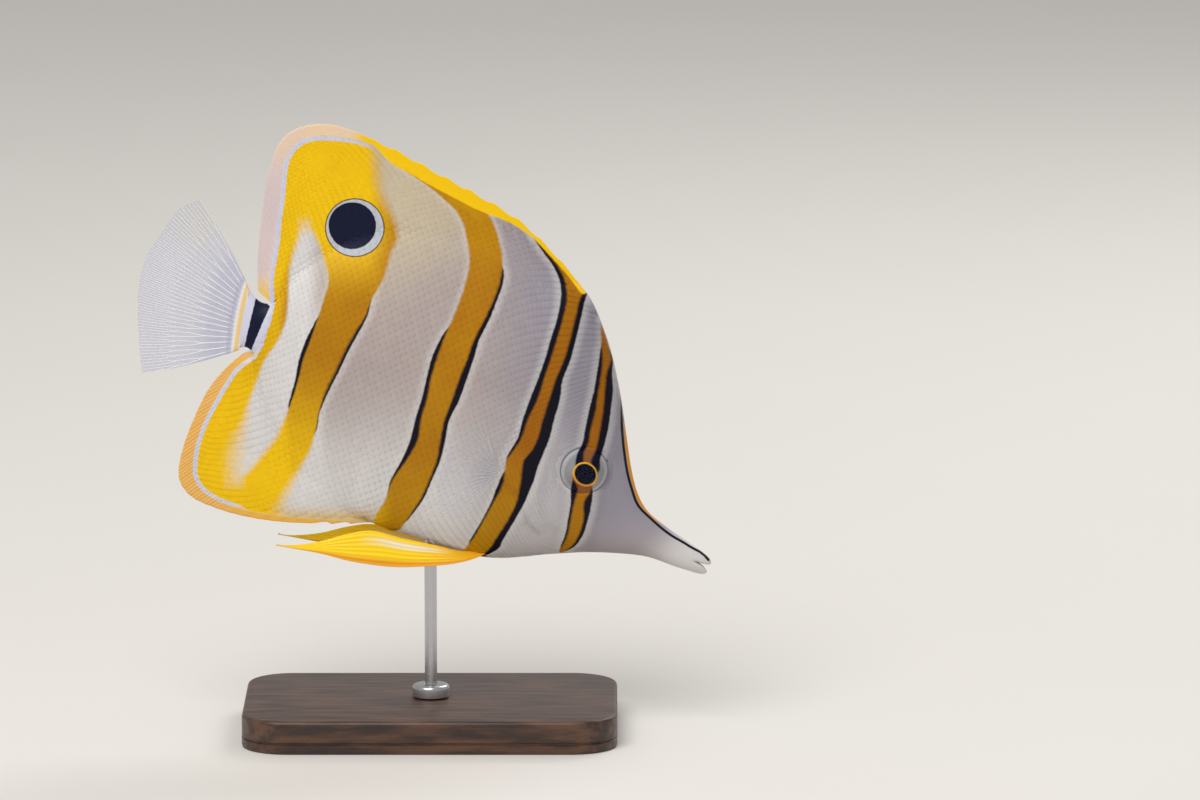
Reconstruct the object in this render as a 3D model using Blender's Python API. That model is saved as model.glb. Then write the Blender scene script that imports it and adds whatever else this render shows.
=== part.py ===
"""A copperband butterflyfish at life size, as a still display model on a plain stand.

The fish is modelled level in its own frame, in millimetres: +X towards the snout, +Y to its left,
+Z to its back, with the zero in the middle of the flank. An empty then tips it nose down and lifts
it over the stand. The row's origin is the centre of the base's underside, on the floor.
"""

import math

import bmesh
import bpy
import numpy as np
from mathutils import Matrix, Vector

MM = 0.001
GAP = 0.3  # the clearance between two neighbouring pieces
WELD = 1e-3  # points closer than this become one
ROUND_STEPS = 24  # flats round a turned piece

# How the fish is held
PITCH_DEG = 25.0  # nose down
FLANK_HEIGHT = 93.0  # the fish's own zero above the floor

# The stand
BASE_LENGTH = 90.0
BASE_WIDTH = 58.0
BASE_HEIGHT = 8.0
BASE_CORNER = 11.0
BASE_BEVEL = 1.0
ROD_RADIUS = 1.5
ROD_TOP = 53.0  # above the floor, inside the belly
ROD_HOLE = 10.0  # about how deep it stands in the belly
COLLAR_RADIUS = 4.5
COLLAR_HEIGHT = 3.0

# The body's frames, from the lips to the root of the tail fin:
# top x, top z, bottom x, bottom z, half width, height of the widest point as a share of the frame
FRAMES = np.array([
    (83.3, -17.9, 83.2, -22.1, 1.6, 0.50),  # lips
    (77.2, -16.4, 75.5, -23.1, 2.0, 0.50),
    (70.1, -15.2, 68.5, -23.8, 2.5, 0.50),  # middle of the snout
    (64.0, -13.5, 61.5, -26.1, 3.3, 0.48),
    (59.9, -10.4, 55.5, -28.7, 4.5, 0.46),  # root of the snout
    (55.9, -5.4, 50.5, -31.3, 5.7, 0.46),
    (51.7, 1.0, 46.0, -33.8, 6.7, 0.48),  # eye
    (44.9, 11.2, 41.5, -36.5, 7.6, 0.48),
    (37.0, 21.0, 36.5, -39.2, 8.4, 0.48),  # gill cover
    (27.2, 29.1, 30.5, -41.2, 8.9, 0.50),  # start of the dorsal fin
    (15.0, 30.8, 18.6, -42.8, 9.0, 0.52),
    (2.0, 29.8, 5.3, -44.3, 8.7, 0.53),  # start of the anal fin
    (-10.2, 27.2, -6.5, -43.0, 7.9, 0.54),
    (-21.5, 22.3, -18.5, -37.8, 6.6, 0.54),
    (-30.5, 14.3, -28.1, -30.6, 5.1, 0.53),
    (-36.3, 3.9, -34.5, -23.6, 3.8, 0.51),
    (-39.2, -5.6, -38.9, -18.4, 2.8, 0.50),  # narrowest part of the tail
    (-46.0, -4.3, -42.0, -19.9, 1.7, 0.50),  # root of the tail fin
])
LAST_FRAME = len(FRAMES) - 1

# Where one named part of the body ends and the next begins, in frames
JAW_END, SNOUT_END, HEAD_END, TRUNK_END = 1.3, 4.0, 8.8, 16.0

# The mouth: a slit between the jaws that opens a little at their round tips
MOUTH_SHARE = 0.53  # of the snout's height
MOUTH_OPENS = 0.45  # the frame at which it starts to open
MOUTH_GAPE = 0.5  # at the tips
JAW_ROUND = 0.35  # frames over which the tips are rounded

# The edges of the flesh: where it meets a fin the edge is a flat strip, elsewhere it is round
DORSAL_START, ANAL_START, FIN_END = 9.0, 11.0, 16.0
FIN_ROOT_HALF = 1.0  # half thickness where a fin grows from the back or belly
FIN_EDGE_HALF = 0.3  # and at its free edge

# The free edge of each fin: the frame its ray grows from, then x and z of the ray's tip
DORSAL_SPLIT = 12.0  # spines before it, soft rays behind it
DORSAL_EDGE = np.array([
    (9.0, 27.2, 29.1),
    (9.5, 16.4, 34.2),
    (10.0, 6.0, 37.8),
    (10.5, -4.5, 39.1),
    (11.0, -14.0, 39.7),
    (12.0, -34.5, 40.7),
    (12.5, -44.3, 39.6),
    (13.0, -51.0, 35.7),
    (13.5, -53.7, 30.2),
    (14.0, -53.0, 23.0),
    (15.0, -49.7, 11.5),
    (15.5, -47.0, 3.6),
    (16.0, -43.4, -4.4),
])
ANAL_EDGE = np.array([
    (11.0, 5.3, -44.5),
    (11.5, -5.0, -49.2),
    (12.0, -15.0, -53.3),
    (13.0, -31.0, -56.9),
    (13.6, -38.0, -56.5),
    (14.0, -41.4, -54.2),
    (14.5, -43.5, -48.5),
    (15.0, -44.4, -39.5),
    (15.5, -43.9, -29.5),
    (16.0, -40.2, -19.6),
])
# The tail fin's free edge, from its lower corner (0) to its upper corner (1)
TAIL_EDGE = np.array([
    (0.0, -60.1, -34.7),
    (0.2, -65.2, -25.6),
    (0.4, -69.2, -17.0),
    (0.6, -70.9, -9.0),
    (0.8, -70.0, -0.5),
    (0.93, -68.0, 6.8),
    (1.0, -64.8, 10.1),
])

TAIL_BOW = 0.9  # its outermost rays bow outwards

# Eyes
EYE_X, EYE_Z = 45.4, -9.9
EYE_RADIUS = 5.8
EYE_DOME, EYE_BOWL = 1.7, 3.9  # how far it stands out of its rim, and how deep it goes in
EYE_SUNK = 0.2  # its rim, below the cheek's surface
EYE_FORWARD_DEG = 9.0  # its axis leans towards the snout

# Pectoral fins: a fan that stands out from the side
PECTORAL_X, PECTORAL_Z = 26.4, -19.4
PECTORAL_ROOT = 4.6  # height of its root
PECTORAL_LENGTH = 20.0
PECTORAL_LOW_DEG, PECTORAL_HIGH_DEG = -58.0, 50.0  # its lowest and highest ray, from the middle one
PECTORAL_DROP_DEG = 10.0  # the middle ray below the fish's own level
PECTORAL_OUT_DEG = 48.0  # away from the flank
PECTORAL_HALF = 0.28

# Pelvic fins: lower edge with the spine, and upper edge, from root to tip, in x and z
PELVIC_SPINE = np.array([
    (31.8, -41.4), (26.1, -44.7), (18.4, -48.8), (12.1, -51.4),
    (4.0, -53.7), (-3.4, -55.0), (-10.2, -56.7), (-13.9, -57.7),
])
PELVIC_UPPER = np.array([
    (28.9, -42.1), (20.8, -44.0), (12.9, -45.3), (5.8, -46.2),
    (0.4, -49.2), (-4.7, -53.2), (-10.4, -56.1), (-14.0, -57.3),
])
PELVIC_ROOT_Y, PELVIC_TIP_Y = 2.3, 7.0  # distance of the upper edge from the fish's middle plane
PELVIC_FLARE = 1.8  # the lower edge stands this much further out
PELVIC_HALF = 0.3


def clear_scene():
    for thing in list(bpy.data.objects):
        bpy.data.objects.remove(thing)


def material(name, colour, roughness, metallic=0.0):
    made = bpy.data.materials.new(name)
    made.use_nodes = True
    shader = made.node_tree.nodes["Principled BSDF"]
    shader.inputs["Base Color"].default_value = (*colour, 1.0)
    shader.inputs["Roughness"].default_value = roughness
    shader.inputs["Metallic"].default_value = metallic
    return made


def smooth(keys, rows, at):
    """Rows at `at`, on a smooth curve through `rows`, which stand at `keys`."""
    keys, rows, at = (np.asarray(v, float) for v in (keys, rows, at))
    chords = np.diff(rows, axis=0) / np.diff(keys)[:, None]
    spans = np.diff(keys)
    before, after = spans[:-1, None], spans[1:, None]
    inner = (chords[:-1] * after + chords[1:] * before) / (before + after)
    slopes = np.vstack([2 * chords[0] - inner[0], inner, 2 * chords[-1] - inner[-1]])
    i = np.clip(np.searchsorted(keys, at, side="right") - 1, 0, len(keys) - 2)
    h = spans[i][..., None]
    f = ((at - keys[i]) / spans[i])[..., None]
    return (
        rows[i] * (2 * f**3 - 3 * f**2 + 1)
        + slopes[i] * h * (f**3 - 2 * f**2 + f)
        + rows[i + 1] * (3 * f**2 - 2 * f**3)
        + slopes[i + 1] * h * (f**3 - f**2)
    )


def frame_at(u):
    return smooth(np.arange(len(FRAMES)), FRAMES, u)


def ramp(u, start, end):
    """0 before start, 1 after end, and a soft step between."""
    f = np.clip((np.asarray(u, float) - start) / (end - start), 0.0, 1.0)
    return f * f * (3 - 2 * f)


def fin_edge_share(u, start):
    """How far the flesh's edge at frame u is a strip with a fin on it, from 0 to 1."""
    return ramp(u, start, start + 1.2) * (1 - ramp(u, FIN_END - 0.1, FIN_END + 0.3))


def half_thickness(u, t):
    """The body's half thickness at frame u and at share t of its height, from 0 below to 1 above."""
    frame = frame_at(u)
    wide, middle = frame[..., 4], frame[..., 5]
    upper = t > middle
    r = np.clip(np.where(upper, (t - middle) / (1 - middle), (middle - t) / middle), 0.0, 1.0)
    share = np.where(upper, fin_edge_share(u, DORSAL_START), fin_edge_share(u, ANAL_START))
    edge = FIN_ROOT_HALF * share
    power = 2.0 + 0.4 * share
    fullness = 0.55 + 0.85 * share
    made = edge + (wide - edge) * np.clip(1 - r**power, 0.0, 1.0) ** fullness
    lips = np.sqrt(1 - (1 - np.clip(u / 0.5, 0.0, 1.0)) ** 2)
    return made * lips


def body_sheet(us, ts):
    """x, z and half thickness over the grid of frames us and height shares ts."""
    u, t = np.meshgrid(us, ts, indexing="ij")
    frame = frame_at(u)
    x = frame[..., 2] + (frame[..., 0] - frame[..., 2]) * t
    z = frame[..., 3] + (frame[..., 1] - frame[..., 3]) * t
    return np.stack([x, z], axis=-1), half_thickness(u, t)


def fin_sheet(root, tip, ts, root_half, edge_half=FIN_EDGE_HALF):
    """A fin's grid between its root line and its free edge, thinning towards the edge."""
    length = np.linalg.norm(tip - root, axis=-1, keepdims=True)
    start = root + (tip - root) * np.clip(GAP / np.maximum(length, GAP), 0.0, 0.5)
    share = np.asarray(ts)[None, :, None]
    xz = start[:, None, :] + (tip - start)[:, None, :] * share
    half = root_half + (edge_half - root_half) * np.broadcast_to(share[..., 0], xz.shape[:2]) ** 0.8
    return xz, half


def solid(name, points, finish, holder, smooth_angle=50.0):
    """A closed solid between two matching grids of points, the first on its left, the second on its right."""
    left, right = points
    rows, columns = left.shape[:2]
    mesh = bmesh.new()
    sides = [[[mesh.verts.new(Vector(p) * MM) for p in row] for row in grid] for grid in (left, right)]
    for i in range(rows - 1):
        for j in range(columns - 1):
            for side in sides:
                mesh.faces.new((side[i][j], side[i + 1][j], side[i + 1][j + 1], side[i][j + 1]))
    rim = [(i, 0) for i in range(rows)]
    rim += [(rows - 1, j) for j in range(1, columns)]
    rim += [(i, columns - 1) for i in range(rows - 2, -1, -1)]
    rim += [(0, j) for j in range(columns - 2, 0, -1)]
    for (i, j), (k, m) in zip(rim, rim[1:] + rim[:1]):
        mesh.faces.new((sides[0][i][j], sides[0][k][m], sides[1][k][m], sides[1][i][j]))
    bmesh.ops.remove_doubles(mesh, verts=mesh.verts, dist=WELD * MM)
    bmesh.ops.dissolve_degenerate(mesh, edges=mesh.edges, dist=WELD / 10 * MM)
    bmesh.ops.recalc_face_normals(mesh, faces=mesh.faces)
    return placed(name, mesh, finish, holder, smooth_angle)


def placed(name, mesh, finish, holder, smooth_angle=50.0):
    """The object made from a bmesh, with its finish, under the empty that holds it."""
    data = bpy.data.meshes.new(name)
    mesh.to_mesh(data)
    mesh.free()
    data.materials.append(finish)
    data.shade_smooth()
    data.set_sharp_from_angle(angle=math.radians(smooth_angle))
    made = bpy.data.objects.new(name, data)
    made.parent = holder
    bpy.context.scene.collection.objects.link(made)
    return made


def both_sides(xz, half):
    """The left and right grids of a piece that lies across the fish's middle plane."""
    return [np.stack([xz[..., 0], side * half, xz[..., 1]], axis=-1) for side in (1, -1)]


def cosine_steps(count, low=0.0, high=1.0):
    """Steps from low to high that crowd together at both ends."""
    return low + (high - low) * (1 - np.cos(np.linspace(0, math.pi, count + 1))) / 2


def cut_by(piece, cutter, name):
    """Takes the cutter's shape out of the piece."""
    cutter.hide_render = True
    cutter.display_type = "WIRE"
    modifier = piece.modifiers.new(name, "BOOLEAN")
    modifier.operation = "DIFFERENCE"
    modifier.solver = "EXACT"
    modifier.object = cutter


def clear_of(u, direction):
    """Frame u, moved so that a piece which ends there keeps half the gap to its neighbour."""
    step = 0.1
    behind, ahead = frame_at(np.array([u - step / 2, u + step / 2]))
    spacings = [np.linalg.norm(ahead[i:i + 2] - behind[i:i + 2]) / step for i in (0, 2)]
    return u + direction * GAP / 2 / min(spacings)


def make_jaws(finish, holder):
    """Two short jaws at the tip of the snout, parted by the mouth."""
    tips = JAW_ROUND * (1 - np.cos(np.linspace(0.15, math.pi / 2, 6)))
    us = np.concatenate([tips, np.linspace(0.55, clear_of(JAW_END, -1), 4)])
    for name, side in (("upper_jaw", 1), ("lower_jaw", -1)):
        grids = []
        for u in us:
            frame = frame_at(u)
            height = math.hypot(frame[0] - frame[2], frame[1] - frame[3])
            open_share = max(0.0, 1 - u / MOUTH_OPENS)
            gap = (GAP + (MOUTH_GAPE - GAP) * open_share) / 2 / height
            ends = np.array([MOUTH_SHARE + side * gap, 1.0 if side > 0 else 0.0])
            narrow = math.sqrt(1 - (1 - min(u / JAW_ROUND, 1.0)) ** 2)
            middle = ends.mean()
            low, high = sorted(middle + (ends - middle) * narrow)
            grids.append(body_sheet(np.array([u]), cosine_steps(6, low, high)))
        xz = np.concatenate([g[0] for g in grids])
        half = np.concatenate([g[1] for g in grids])
        solid(name, both_sides(xz, half), finish, holder)


def make_snout(finish, holder):
    us = np.linspace(clear_of(JAW_END, 1), clear_of(SNOUT_END, -1), 7)
    xz, half = body_sheet(us, cosine_steps(10))
    solid("snout", both_sides(xz, half), finish, holder)


def turned(name, profile, finish, holder=None, smooth_angle=40.0):
    """A solid turned about its own Z, from (radius, height) points in millimetres."""
    mesh = bmesh.new()
    points = [mesh.verts.new((r * MM, 0.0, h * MM)) for r, h in profile]
    edges = [mesh.edges.new(pair) for pair in zip(points, points[1:])]
    bmesh.ops.spin(
        mesh,
        geom=points + edges,
        cent=(0, 0, 0),
        axis=(0, 0, 1),
        angle=2 * math.pi,
        steps=ROUND_STEPS,
        use_merge=True,
    )
    bmesh.ops.remove_doubles(mesh, verts=mesh.verts, dist=WELD * MM)
    bmesh.ops.recalc_face_normals(mesh, faces=mesh.faces)
    return placed(name, mesh, finish, holder, smooth_angle)


def eye_shape(name, extra, finish, holder, side):
    """A lens: a low dome outside and a deeper bowl inside, turned about the eye's axis."""
    profile = []
    for angle in np.radians(np.linspace(90, -90, 9)):
        depth = EYE_DOME if angle >= 0 else EYE_BOWL
        profile.append(((EYE_RADIUS + extra) * math.cos(angle), (depth + extra) * math.sin(angle)))
    made = turned(name, profile, finish, holder)
    made.location = Vector((EYE_X, side * (side_at(EYE_X, EYE_Z) - EYE_SUNK), EYE_Z)) * MM
    made.rotation_euler = (-side * math.radians(90), 0.0, -side * math.radians(EYE_FORWARD_DEG))
    return made


def side_at(x, z):
    """The body's half thickness at x and z, found along its frames."""
    us = np.linspace(0.5, LAST_FRAME - 0.1, 400)
    frames = frame_at(us)
    ts = np.clip((z - frames[:, 3]) / (frames[:, 1] - frames[:, 3]), 0, 1)
    xs = frames[:, 2] + (frames[:, 0] - frames[:, 2]) * ts
    nearest = int(np.argmin(np.abs(xs - x)))
    return float(half_thickness(us[nearest], ts[nearest]))


def make_head(finish, holder):
    """The head, with a socket for each eye."""
    us = np.linspace(clear_of(SNOUT_END, 1), clear_of(HEAD_END, -1), 13)
    xz, half = body_sheet(us, cosine_steps(14))
    head = solid("head", both_sides(xz, half), finish, holder, smooth_angle=35.0)
    for side, label in ((1, "left"), (-1, "right")):
        socket = eye_shape(f"socket_{label}", GAP, finish, holder, side)
        cut_by(head, socket, f"socket {label}")


def make_trunk(finish, holder):
    """The trunk, with a blind hole in the belly for the stand's rod."""
    us = np.linspace(clear_of(HEAD_END, 1), clear_of(TRUNK_END, -1), 20)
    xz, half = body_sheet(us, cosine_steps(14))
    trunk = solid("trunk", both_sides(xz, half), finish, holder)
    low, high = ROD_TOP - 2 * ROD_HOLE, ROD_TOP + GAP
    radius = ROD_RADIUS + GAP
    hole = turned("rod_hole", [(0, high), (radius, high), (radius, low), (0, low)], finish)
    cut_by(trunk, hole, "rod hole")


def make_tail_base(finish, holder):
    us = np.linspace(clear_of(TRUNK_END, 1), LAST_FRAME, 5)
    xz, half = body_sheet(us, cosine_steps(8))
    solid("tail_base", both_sides(xz, half), finish, holder)


def make_back_and_belly_fins(finish, holder):
    """The dorsal fin in its spiny and soft parts, and the anal fin."""
    ts = np.array([0.0, 0.25, 0.55, 0.8, 1.0])
    spiny = np.linspace(DORSAL_START + 0.22, DORSAL_SPLIT - 0.012, 16)
    soft = np.linspace(DORSAL_SPLIT + 0.012, FIN_END - 0.02, 24)
    belly = np.linspace(ANAL_START + 0.2, FIN_END - 0.04, 26)
    for name, us, edge, columns, start in (
        ("dorsal_fin_spiny", spiny, DORSAL_EDGE, (0, 2), DORSAL_START),
        ("dorsal_fin_soft", soft, DORSAL_EDGE, (0, 2), DORSAL_START),
        ("anal_fin", belly, ANAL_EDGE, (2, 4), ANAL_START),
    ):
        root = frame_at(us)[:, columns[0]:columns[1]]
        tip = smooth(edge[:, 0], edge[:, 1:], us)
        root_half = np.maximum(FIN_ROOT_HALF * fin_edge_share(us, start), FIN_EDGE_HALF)[:, None]
        xz, half = fin_sheet(root, tip, ts, root_half)
        solid(name, both_sides(xz, half), finish, holder)


def make_tail_fin(finish, holder):
    """A fan from the end of the tail."""
    shares = np.linspace(0, 1, 19)
    ts = np.array([0.0, 0.2, 0.5, 0.75, 1.0])
    end = FRAMES[LAST_FRAME]
    low, high = end[2:4] + (0.0, 0.4), end[0:2] - (0.0, 0.4)
    root = low + (high - low) * shares[:, None]
    tip = smooth(TAIL_EDGE[:, 0], TAIL_EDGE[:, 1:], shares)
    xz, half = fin_sheet(root, tip, ts, 1.1)
    bow = TAIL_BOW * np.sin(math.pi * ts)[None, :] * np.abs(2 * shares - 1)[:, None] ** 3
    xz[..., 1] += bow * np.sign(shares - 0.5)[:, None]
    solid("tail_fin", both_sides(xz, half), finish, holder)


def make_pectoral_fins(finish, holder):
    """Two small fans that stand out from the flanks behind the gill covers."""
    shares = np.linspace(0, 1, 16)
    angles = np.radians(PECTORAL_LOW_DEG + (PECTORAL_HIGH_DEG - PECTORAL_LOW_DEG) * shares)
    length = PECTORAL_LENGTH * (1 - 0.45 * (shares - 0.62) ** 2 / 0.62**2)
    root = np.stack([np.zeros(len(shares)), PECTORAL_ROOT * (shares - 0.5)], axis=-1)
    tip = root + np.stack([-length * np.cos(angles), length * np.sin(angles)], axis=-1)
    ts = np.array([0.0, 0.15, 0.45, 0.75, 1.0])
    xz, half = fin_sheet(root, tip, ts, 0.6, PECTORAL_HALF)
    flank = side_at(PECTORAL_X, PECTORAL_Z)
    for side, label in ((1, "left"), (-1, "right")):
        made = solid(f"pectoral_fin_{label}", both_sides(xz, half), finish, holder)
        made.location = Vector((PECTORAL_X, side * (flank + 1.0), PECTORAL_Z)) * MM
        turn = Matrix.Rotation(-side * math.radians(PECTORAL_OUT_DEG), 4, "Z")
        drop = Matrix.Rotation(-math.radians(PECTORAL_DROP_DEG), 4, "Y")
        made.rotation_euler = (turn @ drop).to_euler()


def make_pelvic_fins(finish, holder):
    """Two broad, pointed fins under the belly, splayed a little."""
    at = np.linspace(0, 1, 18)
    keys = np.linspace(0, 1, len(PELVIC_SPINE))
    spine, upper = smooth(keys, PELVIC_SPINE, at), smooth(keys, PELVIC_UPPER, at)
    ts = np.array([0.0, 0.2, 0.5, 0.8, 1.0])
    xz = spine[:, None, :] + (upper - spine)[:, None, :] * ts[None, :, None]
    flare = PELVIC_FLARE * (1 - ts[None, :]) * np.sin(math.pi * at[:, None])
    out = PELVIC_ROOT_Y + (PELVIC_TIP_Y - PELVIC_ROOT_Y) * at[:, None] ** 1.3 + flare
    half = PELVIC_HALF + 0.25 * (1 - ts[None, :]) * (1 - at[:, None])
    for side, label in ((1, "left"), (-1, "right")):
        grids = [np.stack([xz[..., 0], side * (out + face * half), xz[..., 1]], axis=-1) for face in (1, -1)]
        solid(f"pelvic_fin_{label}", grids, finish, holder)


def make_stand(wood, steel):
    """A flat base, a collar on it and one rod up into the belly."""
    mesh = bmesh.new()
    corners = []
    for turn, (sign_x, sign_y) in enumerate(((1, 1), (-1, 1), (-1, -1), (1, -1))):
        for angle in np.radians(90 * turn + np.linspace(0, 90, 7)):
            x = sign_x * (BASE_LENGTH / 2 - BASE_CORNER) + BASE_CORNER * math.cos(angle)
            y = sign_y * (BASE_WIDTH / 2 - BASE_CORNER) + BASE_CORNER * math.sin(angle)
            corners.append(mesh.verts.new((x * MM, y * MM, 0.0)))
    raised = bmesh.ops.extrude_face_region(mesh, geom=[mesh.faces.new(corners)])["geom"]
    top = [part for part in raised if isinstance(part, bmesh.types.BMVert)]
    bmesh.ops.translate(mesh, verts=top, vec=(0, 0, BASE_HEIGHT * MM))
    bmesh.ops.recalc_face_normals(mesh, faces=mesh.faces)
    base = placed("stand_base", mesh, wood, None, smooth_angle=40.0)
    bevel = base.modifiers.new("edge", "BEVEL")
    bevel.width = BASE_BEVEL * MM
    bevel.segments = 2
    bevel.limit_method = "ANGLE"
    bevel.angle_limit = math.radians(60)
    low = BASE_HEIGHT + GAP
    hole, high = ROD_RADIUS + GAP, low + COLLAR_HEIGHT
    slope = COLLAR_HEIGHT / 3
    ring = [
        (hole, high),
        (COLLAR_RADIUS - slope, high),
        (COLLAR_RADIUS, high - slope),
        (COLLAR_RADIUS, low),
        (hole, low),
        (hole, high),
    ]
    turned("stand_collar", ring, steel)
    turned("stand_rod", [(0, ROD_TOP), (ROD_RADIUS, ROD_TOP), (ROD_RADIUS, low), (0, low)], steel)


def main():
    clear_scene()
    skin = material("skin", (0.74, 0.71, 0.70), 0.42)
    yellow = material("fin_yellow", (0.86, 0.62, 0.03), 0.45)
    clear_fin = material("fin_clear", (0.82, 0.80, 0.78), 0.35)
    eye = material("eye", (0.02, 0.02, 0.05), 0.06)
    wood = material("stand_wood", (0.10, 0.055, 0.03), 0.4)
    steel = material("stand_steel", (0.62, 0.62, 0.62), 0.28, 1.0)
    fish = bpy.data.objects.new("fish", None)
    bpy.context.scene.collection.objects.link(fish)
    fish.location = (0.0, 0.0, FLANK_HEIGHT * MM)
    fish.rotation_euler = (0.0, math.radians(PITCH_DEG), 0.0)
    make_jaws(skin, fish)
    make_snout(skin, fish)
    make_head(skin, fish)
    for side, label in ((1, "left"), (-1, "right")):
        eye_shape(f"eye_{label}", 0.0, eye, fish, side)
    make_trunk(skin, fish)
    make_tail_base(skin, fish)
    make_back_and_belly_fins(yellow, fish)
    make_tail_fin(clear_fin, fish)
    make_pectoral_fins(clear_fin, fish)
    make_pelvic_fins(yellow, fish)
    make_stand(wood, steel)


main()
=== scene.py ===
"""A copperband butterflyfish at life size, as a still display model on a plain stand.

Run as a script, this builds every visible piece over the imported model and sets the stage. The fish is
worked out level, in millimetres: x towards the snout, y to its left, z to its back, with the zero in
the middle of the flank. It is then tipped nose down and lifted over the stand. Markings are laid out
as they are seen from the side: millimetres to the right of the flank's zero and above it.
"""

import math

import bmesh
import bpy
import numpy as np
from mathutils import Matrix, Vector
from mathutils.bvhtree import BVHTree


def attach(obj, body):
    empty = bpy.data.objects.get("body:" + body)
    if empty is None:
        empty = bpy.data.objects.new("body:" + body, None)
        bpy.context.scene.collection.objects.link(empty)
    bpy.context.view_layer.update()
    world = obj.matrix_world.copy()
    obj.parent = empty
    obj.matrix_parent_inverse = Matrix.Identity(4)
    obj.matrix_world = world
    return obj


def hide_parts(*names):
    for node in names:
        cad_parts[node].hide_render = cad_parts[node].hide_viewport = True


bl_info = {
    "name": "Butterflyfish display model",
    "version": (1, 0, 0),
    "blender": (4, 5, 0),
    "location": "3D View > Sidebar > Butterflyfish",
    "description": "Builds a life-size butterflyfish with real scales and fin rays, on a plain stand",
    "category": "Object",
}

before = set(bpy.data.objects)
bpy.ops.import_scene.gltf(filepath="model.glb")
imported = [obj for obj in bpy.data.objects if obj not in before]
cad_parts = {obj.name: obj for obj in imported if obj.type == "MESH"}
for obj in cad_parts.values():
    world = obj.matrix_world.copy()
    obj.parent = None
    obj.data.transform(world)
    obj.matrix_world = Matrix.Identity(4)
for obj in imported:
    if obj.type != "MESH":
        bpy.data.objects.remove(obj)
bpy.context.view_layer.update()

MM = 0.001
SIDES = ((1, "left"), (-1, "right"))
FAR = 99.0  # farther than any distance on the fish

# How the fish is held
PITCH = math.radians(25.0)  # nose down
COS, SIN = math.cos(PITCH), math.sin(PITCH)
FLANK_HEIGHT = 93.0  # the flank's zero above the floor
CAMERA_LIFT = math.radians(10.0)  # above the level
SEEN_DROP = math.tan(CAMERA_LIFT)  # seen from a little above, what stands out sits lower

# The body's frames, from the lips to the root of the tail fin:
# top x, top z, bottom x, bottom z, half width, height of the widest point as a share of the frame
FRAMES = np.array([
    (83.3, -17.9, 83.2, -22.1, 1.6, 0.50),  # lips
    (77.2, -16.4, 75.5, -23.1, 2.0, 0.50),
    (70.1, -15.2, 68.5, -23.8, 2.5, 0.50),  # middle of the snout
    (64.0, -13.5, 61.5, -26.1, 3.3, 0.48),
    (59.9, -10.4, 55.5, -28.7, 4.5, 0.46),  # root of the snout
    (55.9, -5.4, 50.5, -31.3, 5.7, 0.46),
    (51.7, 1.0, 46.0, -33.8, 6.7, 0.48),  # eye
    (44.9, 11.2, 41.5, -36.5, 7.6, 0.48),
    (37.0, 21.0, 36.5, -39.2, 8.4, 0.48),  # gill cover
    (27.2, 29.1, 30.5, -41.2, 8.9, 0.50),  # start of the dorsal fin
    (15.0, 30.8, 18.6, -42.8, 9.0, 0.52),
    (2.0, 29.8, 5.3, -44.3, 8.7, 0.53),  # start of the anal fin
    (-10.2, 27.2, -6.5, -43.0, 7.9, 0.54),
    (-21.5, 22.3, -18.5, -37.8, 6.6, 0.54),
    (-30.5, 14.3, -28.1, -30.6, 5.1, 0.53),
    (-36.3, 3.9, -34.5, -23.6, 3.8, 0.51),
    (-39.2, -5.6, -38.9, -18.4, 2.8, 0.50),  # narrowest part of the tail
    (-46.0, -4.3, -42.0, -19.9, 1.7, 0.50),  # root of the tail fin
])
LAST_FRAME = len(FRAMES) - 1

# The mouth
MOUTH_SHARE = 0.53  # of the snout's height
MOUTH_OPENS = 0.42  # the frame at which the lips part
MOUTH_GAPE = 0.5
MOUTH_CREASE_END = 0.66  # the frame at which the crease behind the lips runs out
JAW_ROUND = 0.35  # frames over which the tips are rounded

# The fins of the back and belly: the frame a ray grows from, then x and z of its tip
DORSAL_START, ANAL_START, FIN_END = 9.0, 11.0, 16.0
DORSAL_SPLIT = 12.0  # spines before it, soft rays behind it
FIN_ROOT_HALF, FIN_EDGE_HALF = 1.0, 0.3
DORSAL_EDGE = np.array([
    (9.0, 27.2, 29.1),
    (9.5, 16.4, 34.2),
    (10.0, 6.0, 37.8),
    (10.5, -4.5, 39.1),
    (11.0, -14.0, 39.7),
    (12.0, -34.5, 40.7),
    (12.5, -44.3, 39.6),
    (13.0, -51.0, 35.7),
    (13.5, -53.7, 30.2),
    (14.0, -53.0, 23.0),
    (15.0, -49.7, 11.5),
    (15.5, -47.0, 3.6),
    (16.0, -43.4, -4.4),
])
ANAL_EDGE = np.array([
    (11.0, 5.3, -44.5),
    (11.5, -5.0, -49.2),
    (12.0, -15.0, -53.3),
    (13.0, -31.0, -56.9),
    (13.6, -38.0, -56.5),
    (14.0, -41.4, -54.2),
    (14.5, -43.5, -48.5),
    (15.0, -44.4, -39.5),
    (15.5, -43.9, -29.5),
    (16.0, -40.2, -19.6),
])
DORSAL_SPINES, DORSAL_RAYS = 9, 29
ANAL_RAYS = 23

# The tail fin's free edge, from its lower corner (0) to its upper corner (1)
TAIL_EDGE = np.array([
    (0.0, -60.1, -34.7),
    (0.2, -65.2, -25.6),
    (0.4, -69.2, -17.0),
    (0.6, -70.9, -9.0),
    (0.8, -70.0, -0.5),
    (0.93, -68.0, 6.8),
    (1.0, -64.8, 10.1),
])
TAIL_BOW = 0.9
TAIL_RAYS = 17

# Eyes
EYE_X, EYE_Z = 45.4, -9.9
EYE_RADIUS, EYE_DOME = 5.8, 1.7
EYE_SUNK = 0.2
EYE_FORWARD = math.radians(9.0)
EYE_BALL = EYE_RADIUS + 0.12  # the eye's own edge, just under the skin's rim
EYE_SPOKES = 96
PUPIL_X, PUPIL_Z = 0.5, -0.54  # from the eye's middle
PUPIL_RADIUS, PUPIL_LONG, PUPIL_SHORT = 2.55, 1.067, 0.933
PUPIL_TURN = math.radians(-20.0)

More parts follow.
